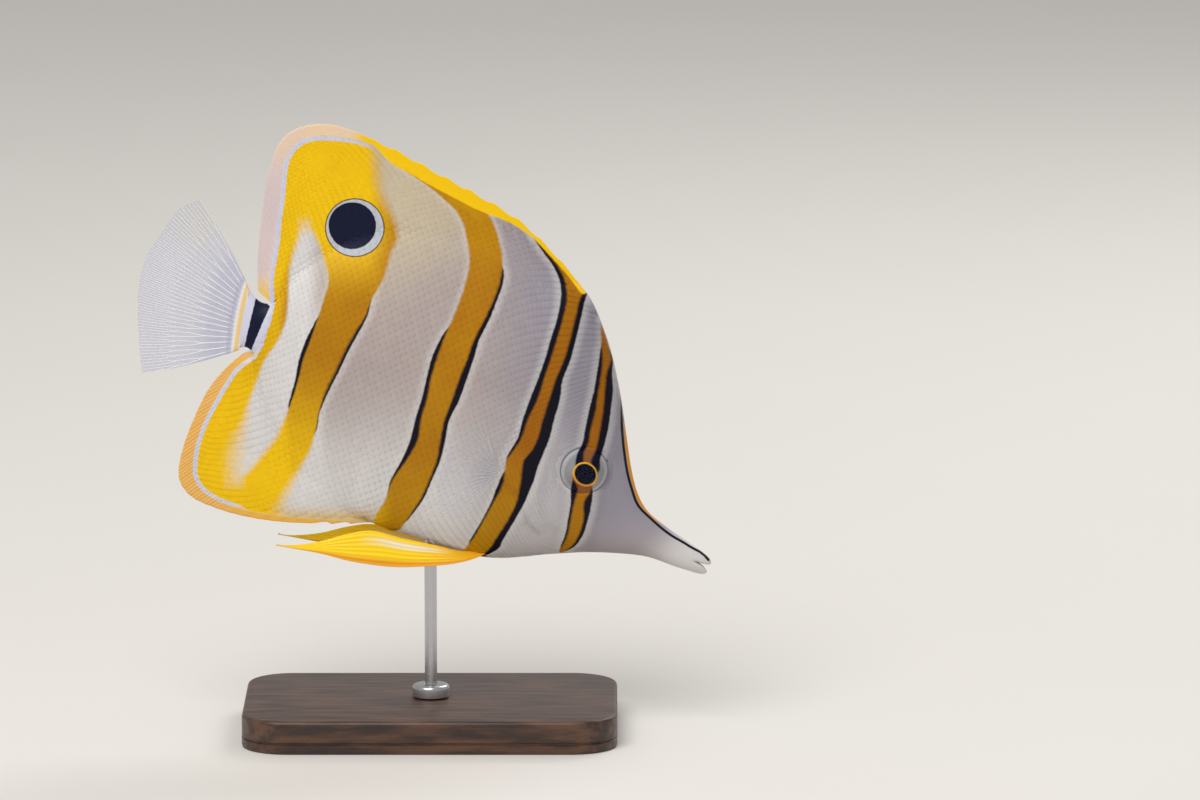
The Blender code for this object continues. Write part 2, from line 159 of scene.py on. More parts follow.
# Pectoral fins
PECTORAL_X, PECTORAL_Z = 26.4, -19.4
PECTORAL_ROOT, PECTORAL_LENGTH = 4.6, 20.0
PECTORAL_LOW, PECTORAL_HIGH = math.radians(-58.0), math.radians(50.0)
PECTORAL_DROP, PECTORAL_OUT = math.radians(10.0), math.radians(48.0)
PECTORAL_RAYS = 14

# Pelvic fins: lower edge with the spine, and upper edge, from root to tip
PELVIC_SPINE = np.array([
    (34.4, -37.4), (31.2, -40.9), (26.1, -44.7), (18.4, -48.8), (12.1, -51.4),
    (4.0, -53.7), (-3.4, -55.0), (-10.2, -56.7), (-13.9, -57.7),
])
PELVIC_UPPER = np.array([
    (31.0, -38.6), (27.4, -40.9), (20.8, -42.2), (12.9, -43.9), (5.8, -45.1),
    (0.4, -48.4), (-4.7, -52.6), (-10.4, -56.1), (-14.0, -57.3),
])
PELVIC_ROOT_Y, PELVIC_TIP_Y, PELVIC_FLARE = 2.3, 7.0, 1.8
PELVIC_RAYS = 7

# Scales: columns from the first, on the face, to the last, on the tail. Rows follow a midline that
# falls towards the snout, and stand closer beyond a distance from it
FIRST_SCALE, LAST_SCALE = 64.0, -52.0
SCALE_MIDLINE, SCALE_MIDLINE_SLOPE = -8.0, 0.04
CLOSER_ROWS_FROM, CLOSER_ROWS_BY = 34.0, 0.28

# The unrolled skin's picture: one millimetre on it, where x is zero, and each flank's zero height
UNROLLED_MM, UNROLLED_ZERO = 0.0046, 0.47
UNROLLED_LEFT, UNROLLED_RIGHT = 0.27, 0.77
SCALE_PATCH = 0.003  # of the picture, for one scale

# The stand
BASE_LENGTH, BASE_WIDTH, BASE_HEIGHT = 90.0, 58.0, 8.0
BASE_CORNER, BASE_EDGE = 11.0, 1.0
ARC_STEPS = 7  # points on a rounded edge
ROD_RADIUS, ROD_TOP = 1.5, 53.0
COLLAR_RADIUS, COLLAR_HEIGHT = 4.5, 3.0
STAND_GAP = 0.3

# The stage, in metres
FLOOR_HALF = 6.0
LIGHT_AIM = (0.0, 0.0, 0.09)
CAMERA_AIM, CAMERA_DISTANCE = (0.0408, 0.0, 0.0808), 2.0

# Copper bands as seen from the side: height, then the outer edge of the dark line behind the band,
# both edges of the copper, and the outer edge of the dark line in front of it
EYE_BAND = np.array([
    (6.8, 40.8, 40.8, 41.3, 41.3),
    (1.2, 40.9, 41.0, 43.0, 43.0),
    (-2.4, 40.6, 41.3, 43.6, 43.9),
    (-5.4, 40.1, 41.0, 42.7, 43.7),
    (-9.7, 39.4, 40.3, 42.2, 43.9),
    (-14.6, 38.2, 39.6, 41.8, 43.4),
    (-19.5, 37.2, 38.4, 41.0, 42.7),
    (-23.2, 36.4, 37.7, 40.3, 41.8),
    (-24.9, 35.5, 36.8, 39.8, 41.3),
    (-26.8, 35.0, 36.7, 38.9, 40.8),
    (-29.2, 34.8, 36.7, 39.1, 40.7),
    (-31.2, 34.3, 35.0, 39.1, 39.4),
    (-34.1, 33.8, 35.3, 38.9, 39.1),
    (-36.6, 33.8, 34.6, 37.4, 38.9),
    (-41.4, 33.1, 33.6, 37.0, 37.9),
    (-46.3, 32.0, 32.4, 35.3, 36.0),
    (-48.0, 31.2, 31.4, 34.1, 34.6),
    (-49.5, 30.7, 30.7, 31.7, 31.7),
])
SHOULDER_BAND = np.array([
    (33.0, 18.5, 18.5, 40.0, 40.0),
    (30.0, 22.4, 22.5, 40.0, 40.0),
    (26.3, 25.4, 25.9, 40.0, 40.0),
    (23.4, 27.4, 28.2, 40.0, 40.0),
    (20.5, 29.5, 30.6, 40.0, 40.0),
    (17.5, 30.9, 32.2, 39.0, 40.0),
    (14.0, 31.5, 32.9, 36.8, 37.9),
    (12.2, 31.4, 32.9, 36.0, 37.3),
    (7.3, 30.5, 31.9, 34.8, 36.2),
    (2.4, 29.0, 30.5, 33.6, 35.0),
    (-2.4, 27.6, 29.0, 32.2, 33.8),
    (-7.3, 25.9, 27.4, 30.2, 31.9),
    (-12.2, 24.0, 25.8, 28.6, 31.2),
    (-17.1, 22.3, 23.5, 27.1, 29.8),
    (-21.9, 20.9, 21.8, 25.7, 28.6),
    (-24.4, 19.4, 20.2, 24.5, 27.6),
    (-26.8, 18.2, 18.5, 22.6, 26.6),
    (-29.2, 17.8, 18.0, 22.1, 25.7),
    (-31.7, 16.8, 17.8, 21.8, 25.0),
    (-34.1, 15.8, 17.0, 21.4, 24.0),
    (-36.6, 14.9, 15.6, 20.9, 23.0),
    (-41.4, 12.5, 13.0, 18.7, 20.4),
    (-46.3, 9.6, 10.1, 15.6, 17.5),
    (-48.7, 8.2, 8.2, 14.0, 16.1),
    (-50.7, 6.7, 6.7, 11.5, 12.0),
])
MIDDLE_BAND = np.array([
    (44.0, -7.0, -7.0, 1.0, 1.0),
    (41.5, -3.0, -3.0, 5.0, 5.0),
    (39.0, 0.6, 0.6, 8.4, 8.4),
    (36.6, 3.4, 3.4, 11.0, 11.0),
    (33.6, 6.4, 6.4, 13.6, 13.6),
    (31.0, 7.9, 7.9, 15.2, 15.2),
    (26.8, 8.9, 8.9, 16.6, 16.6),
    (21.9, 9.6, 9.6, 17.5, 17.5),
    (17.1, 8.9, 8.9, 17.0, 17.8),
    (12.2, 7.4, 7.4, 15.4, 16.3),
    (7.3, 5.5, 5.5, 13.2, 14.4),
    (2.4, 2.6, 3.5, 10.7, 12.0),
    (-2.4, 0.5, 1.8, 9.0, 10.6),
    (-7.3, -0.7, 0.4, 7.1, 8.9),
    (-12.2, -1.9, -0.6, 5.4, 7.2),
    (-17.1, -3.4, -2.0, 3.6, 4.8),
    (-21.9, -4.6, -2.8, 2.6, 3.8),
    (-26.8, -6.7, -5.5, 1.7, 2.6),
    (-31.7, -9.4, -8.9, -0.2, 0.5),
    (-36.6, -11.0, -10.8, -2.4, -1.7),
    (-40.2, -13.0, -13.0, -4.8, -4.3),
    (-43.9, -14.4, -14.4, -7.2, -7.2),
])
# The rear band's front edge: height, the copper's edge, the dark line's edge, softness
REAR_BAND_FRONT = np.array([
    (51.2, -13.4, -13.4, 2.4),
    (46.3, -12.5, -12.5, 2.5),
    (36.6, -10.8, -10.8, 2.2),
    (31.7, -8.4, -8.4, 1.6),
    (26.8, -7.6, -7.6, 1.1),
    (24.4, -8.7, -8.7, 0.9),
    (17.1, -10.9, -10.9, 0.6),
    (12.2, -13.7, -13.4, 0.3),
    (7.3, -15.7, -15.1, 0.4),
    (4.9, -17.3, -16.4, 0.55),
    (0.0, -20.1, -19.1, 0.6),
    (-4.9, -22.3, -21.4, 0.6),
    (-9.7, -24.7, -23.9, 0.6),
    (-14.6, -26.4, -26.0, 0.3),
    (-19.5, -27.4, -27.0, 0.4),
    (-24.4, -28.8, -28.8, 0.8),
    (-29.2, -31.4, -31.4, 1.4),
    (-34.1, -34.1, -34.1, 2.3),
    (-43.9, -38.4, -38.4, 3.0),
])
# The pale window between the rear band and the yellow stripe behind it: height, rear edge,
# front edge, outer edge of the dark line in front of it, softness of the rear edge
REAR_WINDOW = np.array([
    (29.8, -30.5, -28.6, -28.6, 1.4),
    (26.8, -31.4, -26.9, -26.9, 1.2),
    (21.9, -32.9, -25.2, -25.2, 0.9),
    (17.1, -33.6, -24.0, -24.0, 0.7),
    (12.2, -33.8, -25.2, -25.2, 0.6),
    (7.3, -34.3, -27.1, -26.7, 0.6),
    (2.4, -36.2, -29.5, -28.4, 0.6),
    (-2.4, -39.4, -31.2, -30.2, 0.6),
    (-7.3, -41.4, -32.2, -31.4, 0.7),
    (-12.2, -43.2, -33.6, -33.0, 0.9),
    (-17.1, -44.4, -35.0, -35.0, 2.0),
    (-21.9, -45.9, -37.4, -37.4, 3.4),
    (-25.6, -46.7, -40.4, -40.4, 4.2),
    (-28.8, -46.9, -43.0, -43.0, 4.2),
    (-31.4, -46.6, -45.6, -45.6, 4.0),
])
# The fine white line inside the margins of the back, tail and belly
WHITE_LINE = np.array([
    (-9.1, 46.3), (-14.4, 49.5), (-19.2, 50.7), (-24.0, 51.2), (-28.8, 50.9), (-31.2, 49.7),
    (-33.1, 47.5), (-34.1, 45.1), (-34.6, 41.4), (-35.0, 36.6), (-35.8, 31.7), (-36.2, 26.8),
    (-37.0, 21.9), (-37.7, 18.3), (-37.9, 14.6), (-37.7, 11.0), (-38.9, 6.1), (-40.6, 1.2),
    (-42.0, -1.7), (-45.6, -4.1), (-48.0, -7.3), (-50.9, -12.2), (-53.5, -17.1), (-55.4, -21.9),
    (-56.4, -26.8), (-56.2, -31.7), (-54.5, -34.1), (-51.6, -36.1), (-47.5, -37.8), (-44.4, -38.6),
    (-40.8, -39.4), (-32.6, -40.6), (-24.5, -41.3), (-16.0, -41.7), (-8.0, -41.8),
])
# The dark line down the brow to the tip of the snout
BROW_LINE = np.array([
    (44.7, -4.0), (45.8, -12.2), (46.1, -19.5), (46.7, -25.6), (47.5, -30.5), (48.5, -34.1), (49.7, -37.5),
    (53.3, -41.4), (58.3, -45.5), (60.9, -47.0), (63.1, -48.4), (64.7, -49.2), (66.2, -50.4),
    (66.9, -51.3),
])
# The tail saddle's corners, and the eyespot with its pale ring
TAIL_SADDLE = np.array([(-41.3, 13.9), (-38.2, 10.5), (-42.7, 0.0), (-44.6, 0.0)])
EYESPOT, EYESPOT_RING = (-18.4, 30.1), (-17.8, 29.6)
EYESPOT_RADIUS, EYESPOT_RING_RADIUS = 5.7, 6.85

# Lines that show on the head as low steps, with painted shade along them, as seen from the side
GILL_COVER_EDGE = np.array([
    (27.8, -9.5), (25.6, -14.5), (21.0, -20.9), (18.4, -25.6), (17.7, -28.7), (18.5, -31.2),
    (19.7, -33.3), (22.4, -36.0), (23.4, -41.5), (26.2, -44.6),
])
CHEEK_EDGE = np.array([
    (29.5, -21.0), (28.6, -26.8), (27.2, -32.0), (26.4, -37.0), (27.2, -41.0), (30.0, -44.0),
])
NOSTRILS = ((41.9, -25.0), (42.6, -27.0))


def colour(red, green, blue):
    """A colour from 0-255 steps on a screen, as the light it stands for."""
    steps = (v / 255 for v in (red, green, blue))
    return tuple(v / 12.92 if v <= 0.04045 else ((v + 0.055) / 1.055) ** 2.4 for v in steps)


def colour_setting(name, description, steps):
    return bpy.props.FloatVectorProperty(
        name=name, description=description, subtype="COLOR", size=3, min=0.0, max=1.0, default=colour(*steps)
    )


def length_setting(name, description, millimetres, least=0.0):
    return bpy.props.FloatProperty(
        name=name,
        description=description,
        subtype="DISTANCE",
        unit="LENGTH",
        min=least * MM,
        default=millimetres * MM,
    )


def share_setting(name, description, default):
    return bpy.props.FloatProperty(
        name=name, description=description, subtype="FACTOR", min=0.0, max=1.0, default=default
    )


class SkinSettings(bpy.types.PropertyGroup):
    silver: colour_setting("Silver", "Flank between the copper bands", (178, 164, 160))
    lilac: colour_setting("Lilac", "Face and front of the flank", (150, 145, 156))
    sand: colour_setting("Sand", "Upper flank before the rear band", (208, 194, 162))
    pale: colour_setting("Pale", "Belly, rear window and snout tip", (222, 219, 217))
    copper: colour_setting("Copper", "Darkest part of the bands", (157, 86, 6))
    yellow: colour_setting("Yellow", "Rear of the body and the spiny dorsal fin", (246, 198, 6))
    amber: colour_setting("Amber", "Margin of the anal fin", (232, 172, 84))
    peach: colour_setting("Peach", "Clear margins of the soft fins", (236, 206, 172))
    veil: colour_setting("Veil", "Rear margin of the soft dorsal fin", (214, 198, 204))
    dark: colour_setting("Dark", "Lines beside the bands", (6, 4, 22))
    navy: colour_setting("Navy", "Eyespot and tail saddle", (12, 18, 48))
    white_line: colour_setting("White line", "Line inside the fin margins", (208, 208, 226))
    fin_relief: length_setting("Fin relief", "Height of the spines and rays on the fins", 0.16)
    coat_depth: length_setting("Coat depth", "How far the skin lies inside the outline", 0.15)


class ScaleSettings(bpy.types.PropertyGroup):
    pitch_along: length_setting("Pitch along", "From one scale to the next along a row", 1.85, 0.5)
    pitch_across: length_setting("Pitch across", "From one row to the next", 1.2, 0.4)
    length: length_setting("Length", "Of a scale in the middle of the flank", 2.7, 0.5)
    width: length_setting("Width", "Of a scale in the middle of the flank", 2.5, 0.5)
    thickness: length_setting("Thickness", "Of a scale in its middle", 0.085, 0.02)
    tilt: bpy.props.FloatProperty(
        name="Tilt",
        description="How far a scale's free edge is raised",
        subtype="ANGLE",
        unit="ROTATION",
        default=math.radians(1.9),
    )
    seed: bpy.props.IntProperty(name="Seed", description="Varies the tone of single scales", default=7)


class EyeSettings(bpy.types.PropertyGroup):
    iris: colour_setting("Iris", "Silver of the iris", (176, 178, 178))
    gold: colour_setting("Gold", "Ring round the pupil", (255, 196, 62))
    pupil: colour_setting("Pupil", "Pupil", (2, 4, 36))
    cornea_thickness: length_setting("Cornea", "Thickness of the clear dome", 0.14, 0.05)


class FinSettings(bpy.types.PropertyGroup):
    clear: colour_setting("Clear fin", "Rays of the tail and pectoral fins", (240, 238, 244))
    web: colour_setting("Web", "Web between the rays", (190, 192, 210))
    tip: colour_setting("Tail tips", "Rays near the upper corner of the tail fin", (246, 241, 208))
    yellow: colour_setting("Pelvic yellow", "Pelvic fins", (255, 212, 14))
    orange: colour_setting("Pelvic orange", "Spine and root of the pelvic fins", (226, 140, 10))
    ray_thickness: length_setting("Ray thickness", "Of a fin ray at its root", 0.34, 0.05)
    web_alpha: share_setting("Web", "How much the tail fin's web hides", 0.34)


class StandSettings(bpy.types.PropertyGroup):
    wood_light: colour_setting("Wood", "Lighter grain of the base", (92, 60, 40))
    wood_dark: colour_setting("Grain", "Darker grain of the base", (46, 28, 19))
    steel: colour_setting("Steel", "Rod and collar", (196, 196, 198))


class StageSettings(bpy.types.PropertyGroup):
    floor: colour_setting("Floor", "Plain floor", (232, 228, 222))
    key_power: bpy.props.FloatProperty(
        name="Key light",
        description="Power of the large soft light",
        subtype="POWER",
        unit="POWER",
        default=11.5,
    )
    sky: bpy.props.FloatProperty(
        name="Surround", description="Strength of the pale surround", default=0.46
    )


# Shapes


def smooth(keys, rows, at):
    """Rows at `at`, on a smooth curve through `rows`, which stand at `keys`."""
    keys, rows, at = (np.asarray(v, float) for v in (keys, rows, at))
    chords = np.diff(rows, axis=0) / np.diff(keys)[:, None]
    spans = np.diff(keys)
    before, after = spans[:-1, None], spans[1:, None]
    inner = (chords[:-1] * after + chords[1:] * before) / (before + after)
    slopes = np.vstack([2 * chords[0] - inner[0], inner, 2 * chords[-1] - inner[-1]])
    i = np.clip(np.searchsorted(keys, at, side="right") - 1, 0, len(keys) - 2)
    h = spans[i][..., None]
    f = ((at - keys[i]) / spans[i])[..., None]
    return (
        rows[i] * (2 * f**3 - 3 * f**2 + 1)
        + slopes[i] * h * (f**3 - 2 * f**2 + f)
        + rows[i + 1] * (3 * f**2 - 2 * f**3)
        + slopes[i + 1] * h * (f**3 - f**2)
    )


def ramp(value, start, end):
    """0 before start, 1 after end, and a soft step between."""
    f = np.clip((np.asarray(value, float) - start) / (end - start), 0.0, 1.0)
    return f * f * (3 - 2 * f)


def rounded(distance, radius):
    """0 at an edge, rising in a quarter circle to 1 at radius from it."""
    return np.sqrt(np.clip(1 - (1 - np.clip(distance / radius, 0.0, 1.0)) ** 2, 0.0, 1.0))


def frame_at(u):
    return smooth(np.arange(len(FRAMES)), FRAMES, u)


def fin_edge_share(u, start):
    """How far the flesh's edge at frame u carries a fin, from 0 to 1."""
    return ramp(u, start, start + 1.2) * (1 - ramp(u, FIN_END - 0.7, FIN_END))


def half_thickness(u, t):
    """The body's half thickness at frame u and at share t of its height, from 0 below to 1 above."""
    row = frame_at(u)
    wide, middle = row[..., 4], row[..., 5]
    upper = t > middle
    r = np.clip(np.where(upper, (t - middle) / (1 - middle), (middle - t) / middle), 0.0, 1.0)
    share = np.where(upper, fin_edge_share(u, DORSAL_START), fin_edge_share(u, ANAL_START))
    edge = FIN_ROOT_HALF * share
    made = edge + (wide - edge) * np.clip(1 - r ** (2.0 + 0.4 * share), 0.0, 1.0) ** (0.55 + 0.85 * share)
    return made * rounded(u, 0.5)


def side_at(x, z):
    """The body's half thickness at x and z, found along its frames."""
    us = np.linspace(0.5, LAST_FRAME - 0.1, 400)
    rows = frame_at(us)
    ts = np.clip((z - rows[:, 3]) / (rows[:, 1] - rows[:, 3]), 0, 1)
    xs = rows[:, 2] + (rows[:, 0] - rows[:, 2]) * ts
    nearest = int(np.argmin(np.abs(xs - x)))
    return float(half_thickness(us[nearest], ts[nearest]))


def to_row(points):
    """Points of the level fish, tipped and lifted to their place over the stand, in metres."""
    x, y, z = (points[..., i] for i in range(3))
    return np.stack([x * COS + z * SIN, y, FLANK_HEIGHT - x * SIN + z * COS], axis=-1) * MM


def turned_to_row(vectors):
    x, y, z = (vectors[..., i] for i in range(3))
    return np.stack([x * COS + z * SIN, y, -x * SIN + z * COS], axis=-1)


def as_seen(points):
    """Where points of the level fish are seen from the side."""
    x, y, z = (points[..., i] for i in range(3))
    return x * COS + z * SIN, -x * SIN + z * COS - SEEN_DROP * np.abs(y)


def distance_to(x, z, line):
    """Distance of each point from a line through points; negative on the line's right."""
    best = np.full(x.shape, 1e9)
    sign = np.ones(x.shape)
    for a, b in zip(line[:-1], line[1:]):
        d = b - a
        f = np.clip(((x - a[0]) * d[0] + (z - a[1]) * d[1]) / (d @ d), 0.0, 1.0)
        away = np.hypot(x - a[0] - f * d[0], z - a[1] - f * d[1])
        cross = d[0] * (z - a[1]) - d[1] * (x - a[0])
        nearer = away < best - 1e-9
        best = np.where(nearer, away, best)
        sign = np.where(nearer, np.where(cross < 0, -1.0, 1.0), sign)
    return best * sign


def curved(line, count=60):
    """A smooth curve through the points of a line, as closer points."""
    keys = np.concatenate([[0.0], np.cumsum(np.hypot(*np.diff(line, axis=0).T))])
    return smooth(keys, line, np.linspace(0.0, keys[-1], count))


def columns_at(table, z):
    """A table's columns at heights z, on smooth curves through its rows."""
    rows = table[np.argsort(table[:, 0])]
    made = smooth(rows[:, 0], rows[:, 1:], np.clip(z, rows[0, 0], rows[-1, 0]))
    return [made[..., i] for i in range(made.shape[-1])]


def within(table, z):
    """How far z is inside the heights of a table."""
    return np.minimum(z - table[:, 0].min(), table[:, 0].max() - z)


def markings(points, fin_distance):
    """The distances that the skin's colours follow, for points of the level fish.

    fin_distance is each point's distance from the free edge of the back or belly fin.
    Where copper is above 0 a band is copper; where only outer is, it is dark.
    """
    x, z = as_seen(points)
    copper = np.full(x.shape, -9.0)
    outer = np.full(x.shape, -9.0)
    for band in (EYE_BAND, SHOULDER_BAND, MIDDLE_BAND):
        behind, rear, front, ahead = columns_at(band, z)
        if band is EYE_BAND:
            rear, front = rear + 0.18, front - 0.24
        ends = within(band, z)
        behind = behind + 0.5 * (1 - ramp(rear - behind, 0.1, 0.5))
        ahead = ahead - 0.5 * (1 - ramp(ahead - front, 0.1, 0.5))
        copper = np.maximum(copper, np.minimum(np.minimum(x - rear, front - x), ends) / 0.46)
        outer = np.maximum(outer, np.minimum(np.minimum(x - behind, ahead - x), ends + 0.2))
    line = distance_to(x, z, curved(WHITE_LINE))
    inside = line + 0.95 * ramp(x, -46.5, -43.5) * (z < -30.0)
    edge, ahead, soft = columns_at(REAR_BAND_FRONT, z)
    ahead = ahead - (0.5 + soft) * (1 - ramp(ahead - edge, 0.1, 0.5))
    window_rear, window_front, window_dark, window_soft = columns_at(REAR_WINDOW, z)
    window_ends = within(REAR_WINDOW, z) / 3.4
    front_soft = 0.3 + 1.1 * ramp(-z, 13.0, 23.0) + 0.5 * ramp(z, 18.0, 26.0)
    window = np.minimum((x - window_rear) / window_soft, (window_dark - x) / front_soft)
    window = np.minimum(window, window_ends)
    shown = within(REAR_BAND_FRONT, z) > -1.5
    rear = np.minimum(np.minimum((edge - x) / soft, (inside - 0.5) / 0.2), -window)
    copper = np.maximum(copper, np.where(shown, rear, -9.0))
    lined = ramp(window_dark - window_front, 0.1, 0.5)
    clear = (0.4 + front_soft) * (1 - lined)
    window = np.minimum(x - window_rear + window_soft + 0.4, window_front - x + clear)
    window = np.minimum(window, window_ends + 1.0)
    rear = np.minimum(np.minimum(ahead - x, inside - 1.0), -window)
    outer = np.maximum(outer, np.where(shown, rear, -9.0))
    saddle = np.full(x.shape, 9.0)
    for a, b in zip(TAIL_SADDLE, np.roll(TAIL_SADDLE, -1, axis=0)):
        d = b - a
        saddle = np.minimum(saddle, (d[1] * (x - a[0]) - d[0] * (z - a[1])) / np.hypot(*d))
    yellow_margin = 3.6 * ramp(x, -17.0, -8.0) * (1 - 0.68 * ramp(x, 8.0, 27.0)) - fin_distance
    above_tail = z - 13.9 + 1.1 * (x + 41.3)
    margin = np.where(x < -8.5, np.minimum(-0.45 - line, above_tail), -9.0)
    low = ((x < -41.5) & (z <= -0.4)) | ((x < -12.0) & (z < -30.0))
    margin = np.where(low, -0.45 - line, margin)
    margin = np.maximum(margin, np.where(z > 0.0, yellow_margin, -9.0))
    belly_margin = 1.25 * ramp(x, -47.0, -44.0) * (1 - 0.6 * ramp(x, -30.0, -15.0)) - fin_distance
    margin = np.maximum(margin, np.where(z < -20.0, belly_margin, -9.0))
    peach = np.where(z > -2.0, 1 - ramp(x, -19.0, -15.0), 0.55 * (1 - ramp(z, -6.0, -1.0)))
    peach = np.where(z < -30.0, peach * (1 - ramp(x, -52.0, -44.0)), peach)
    peach = np.where(z > 0.0, peach * (1 - 0.6 * (1 - ramp(z, 12.0, 19.0))), peach)
    veil = ramp(-x, 28.0, 31.0) * ramp(z, 15.0, 20.0) * (1 - 0.7 * ramp(z, 40.0, 51.0))
    # Painted shade: darker along the foot of the gill cover's edge and along the cheek line
    crease = 0.55 * np.exp(-((distance_to(x, z, GILL_COVER_EDGE) + 0.2) / 0.5) ** 2)
    crease = np.maximum(crease, 0.3 * np.exp(-((distance_to(x, z, CHEEK_EDGE) / 1.1) ** 2)))
    warm = 0.08 + 0.12 * ramp(-x, -30.0, -8.0) + 0.16 * ramp(z, 8.0, 34.0) + 0.12 * ramp(-z, 18.0, 42.0)
    warm = warm + 0.66 * ramp(-x, 8.0, 16.0) * np.maximum(ramp(z, 10.0, 28.0), ramp(-z, 0.0, 28.0))
    warm = warm + 0.6 * ramp(-x, 33.0, 37.0)
    warm = np.maximum(warm, 0.9 * ramp(x - z * 0.75, 14.0, 2.0) * ramp(z, 14.0, 20.0) * ramp(x, 16.0, 22.0))
    face = ramp(x, 4.0, 34.0) * (1 - 0.55 * ramp(-z, 38.0, 52.0))
    bright = ramp(-z, 4.0, 38.0) * (1 - 0.45 * ramp(x, 2.0, 16.0)) * (1 - ramp(x, 28.0, 40.0))
    bright = bright + ramp(-x, 24.0, 30.0) + 0.75 * ramp(x - z, 96.0, 112.0)
    sandy = ramp(z - 0.5 * x, 8.0, 36.0) * (1 - ramp(x, 8.0, 20.0)) * (1 - ramp(-x, 22.0, 28.0))
    glow = np.where(z < -20.0, (1 - ramp(fin_distance, 0.6, 5.5)) * (1 - ramp(x, -16.0, 4.0)), 0.0)
    tail_base = (line < 0.6) & (x < -36.0) & (z > -0.5) & (z < 15.0) & (margin < 0.0)
    white = np.abs(line) + 0.66 * ramp(x, -23.0, -9.6) * (z > 0.0) + 0.12 * ramp(-z, 30.0, 36.0)
    white = white + 0.6 * ramp(-z, 37.4, 38.9) + 0.6 * (z < 0.0) * ramp(x, -46.0, -43.0)
    return {
        "glow": glow,
        "copper": copper,
        "outer": outer,
        "line": line,
        "margin": margin,
        "peach": peach,
        "veil": veil,
        "saddle": saddle,
        "white": np.where(tail_base, 0.0, white),
        "amber": np.where(z < -0.4, 0.75, 0.0),
        "golden": ramp(-z, 15.0, 21.0) * (1 - ramp(-z, 41.3, 43.0)),
        "spot": EYESPOT_RADIUS - np.hypot(x - EYESPOT[0], z - EYESPOT[1]),
        "spot_ring": EYESPOT_RING_RADIUS - np.hypot(x - EYESPOT_RING[0], z - EYESPOT_RING[1]),
        "brow": distance_to(x, z, curved(BROW_LINE, 40)),
        "brow_fade": 0.45 * (1 - ramp(-z, 7.0, 19.0)),
        "crease": crease,
        "warm": np.clip(warm, 0.0, 1.0),
        "face": face,
        "bright": np.clip(bright, 0.0, 1.0),
        "sandy": np.clip(sandy, 0.0, 1.0),
    }


def distance_to_fin_edges(points):
    """Distance, across the flank, from the free edge of the back or belly fin, at most FAR."""
    x, z = points[..., 0], points[..., 2]
    best = np.full(x.shape, FAR)
    for edge in (DORSAL_EDGE, ANAL_EDGE):
        line = smooth(edge[:, 0], edge[:, 1:], np.linspace(edge[0, 0], FIN_END, 130))
        best = np.minimum(best, np.abs(distance_to(x, z, line)))
    return best


def fin_rays_of(u, upper):
    """The number of the ray that passes frame u, with its fraction."""
    if upper:
        spines = (u - DORSAL_START) / (DORSAL_SPLIT - DORSAL_START) * DORSAL_SPINES
        rays = DORSAL_SPINES + (u - DORSAL_SPLIT) / (FIN_END - DORSAL_SPLIT) * DORSAL_RAYS
        return np.where(u < DORSAL_SPLIT, spines, rays)
    return (u - ANAL_START) / (FIN_END - ANAL_START) * ANAL_RAYS


def skin_frames():
    """The frames at which the skin has a row of points, closer where it has more detail."""
    spines = np.linspace(DORSAL_START, DORSAL_SPLIT, DORSAL_SPINES * 7 + 1)
    rays = np.linspace(DORSAL_SPLIT, FIN_END, DORSAL_RAYS * 4 + 1)
    return np.concatenate([
        JAW_ROUND * (1 - np.cos(np.linspace(0, math.pi / 2, 12))),
        np.linspace(0.37, MOUTH_OPENS, 4),
        np.linspace(0.48, 1.0, 9)[:-1],
        np.linspace(1.0, 4.0, 44)[:-1],
        np.linspace(4.0, DORSAL_START, 78)[:-1],
        spines[:-1],
        rays[:-1],
        np.linspace(FIN_END, 16.86, 8),
        16.86 + 0.14 * np.sin(np.linspace(0, math.pi / 2, 6))[1:],
    ])


def body_grid(us, coat):
    """The left flank's points over frames and heights, and the column below the mouth's slit."""
    half_count = 46
    even = np.linspace(0, 1, half_count + 1)
    crowded = (1 - np.cos(math.pi * even)) / 2
    outer = 1 - np.cos(math.pi / 2 * even)
    ts = np.empty((len(us), 2 * half_count + 2))
    for i, u in enumerate(us):
        row = frame_at(u)
        height = math.hypot(row[0] - row[2], row[1] - row[3])
        opening = max(0.0, 1 - u / MOUTH_OPENS) ** 0.7
        parted = MOUTH_GAPE * opening + 0.05 + (height / 2 / half_count) * float(ramp(u, 1.0, 3.5))
        gap = parted / 2 / height
        steps = even * 0.45 + outer * 0.55 if u > MOUTH_CREASE_END else crowded
        low = (MOUTH_SHARE - gap) * steps
        high = 1 - (1 - MOUTH_SHARE - gap) * steps[::-1]
        narrow = float(rounded(u, JAW_ROUND))
        for lobe in (low, high):
            middle = (lobe[0] + lobe[-1]) / 2
            lobe[:] = middle + (lobe - middle) * narrow
        ts[i] = np.concatenate([low, high])
    u = np.broadcast_to(us[:, None], ts.shape)
    row = frame_at(u)
    height = np.hypot(row[..., 0] - row[..., 2], row[..., 1] - row[..., 3])
    inset = coat * (0.25 + 0.75 * ramp(u, 3.0, 4.5)) / height
    t = inset + ts * (1 - 2 * inset)
    x = row[..., 2] + (row[..., 0] - row[..., 2]) * t
    z = row[..., 3] + (row[..., 1] - row[..., 3]) * t
    half = half_thickness(u, ts) * (1 - coat * ramp(u, 3.0, 4.5) / row[..., 4])
    lips = (np.abs(ts - ts[:, column, None]) for column in (half_count, half_count + 1))
    from_mouth = np.minimum(*lips) * height
    crease = 1 - ramp(u, MOUTH_OPENS, MOUTH_CREASE_END)
    half = half * (1 - crease * (1 - rounded(from_mouth, 0.8)))
    half = half * rounded(LAST_FRAME - u, 0.16)
    return np.stack([x, half, z], axis=-1), half_count


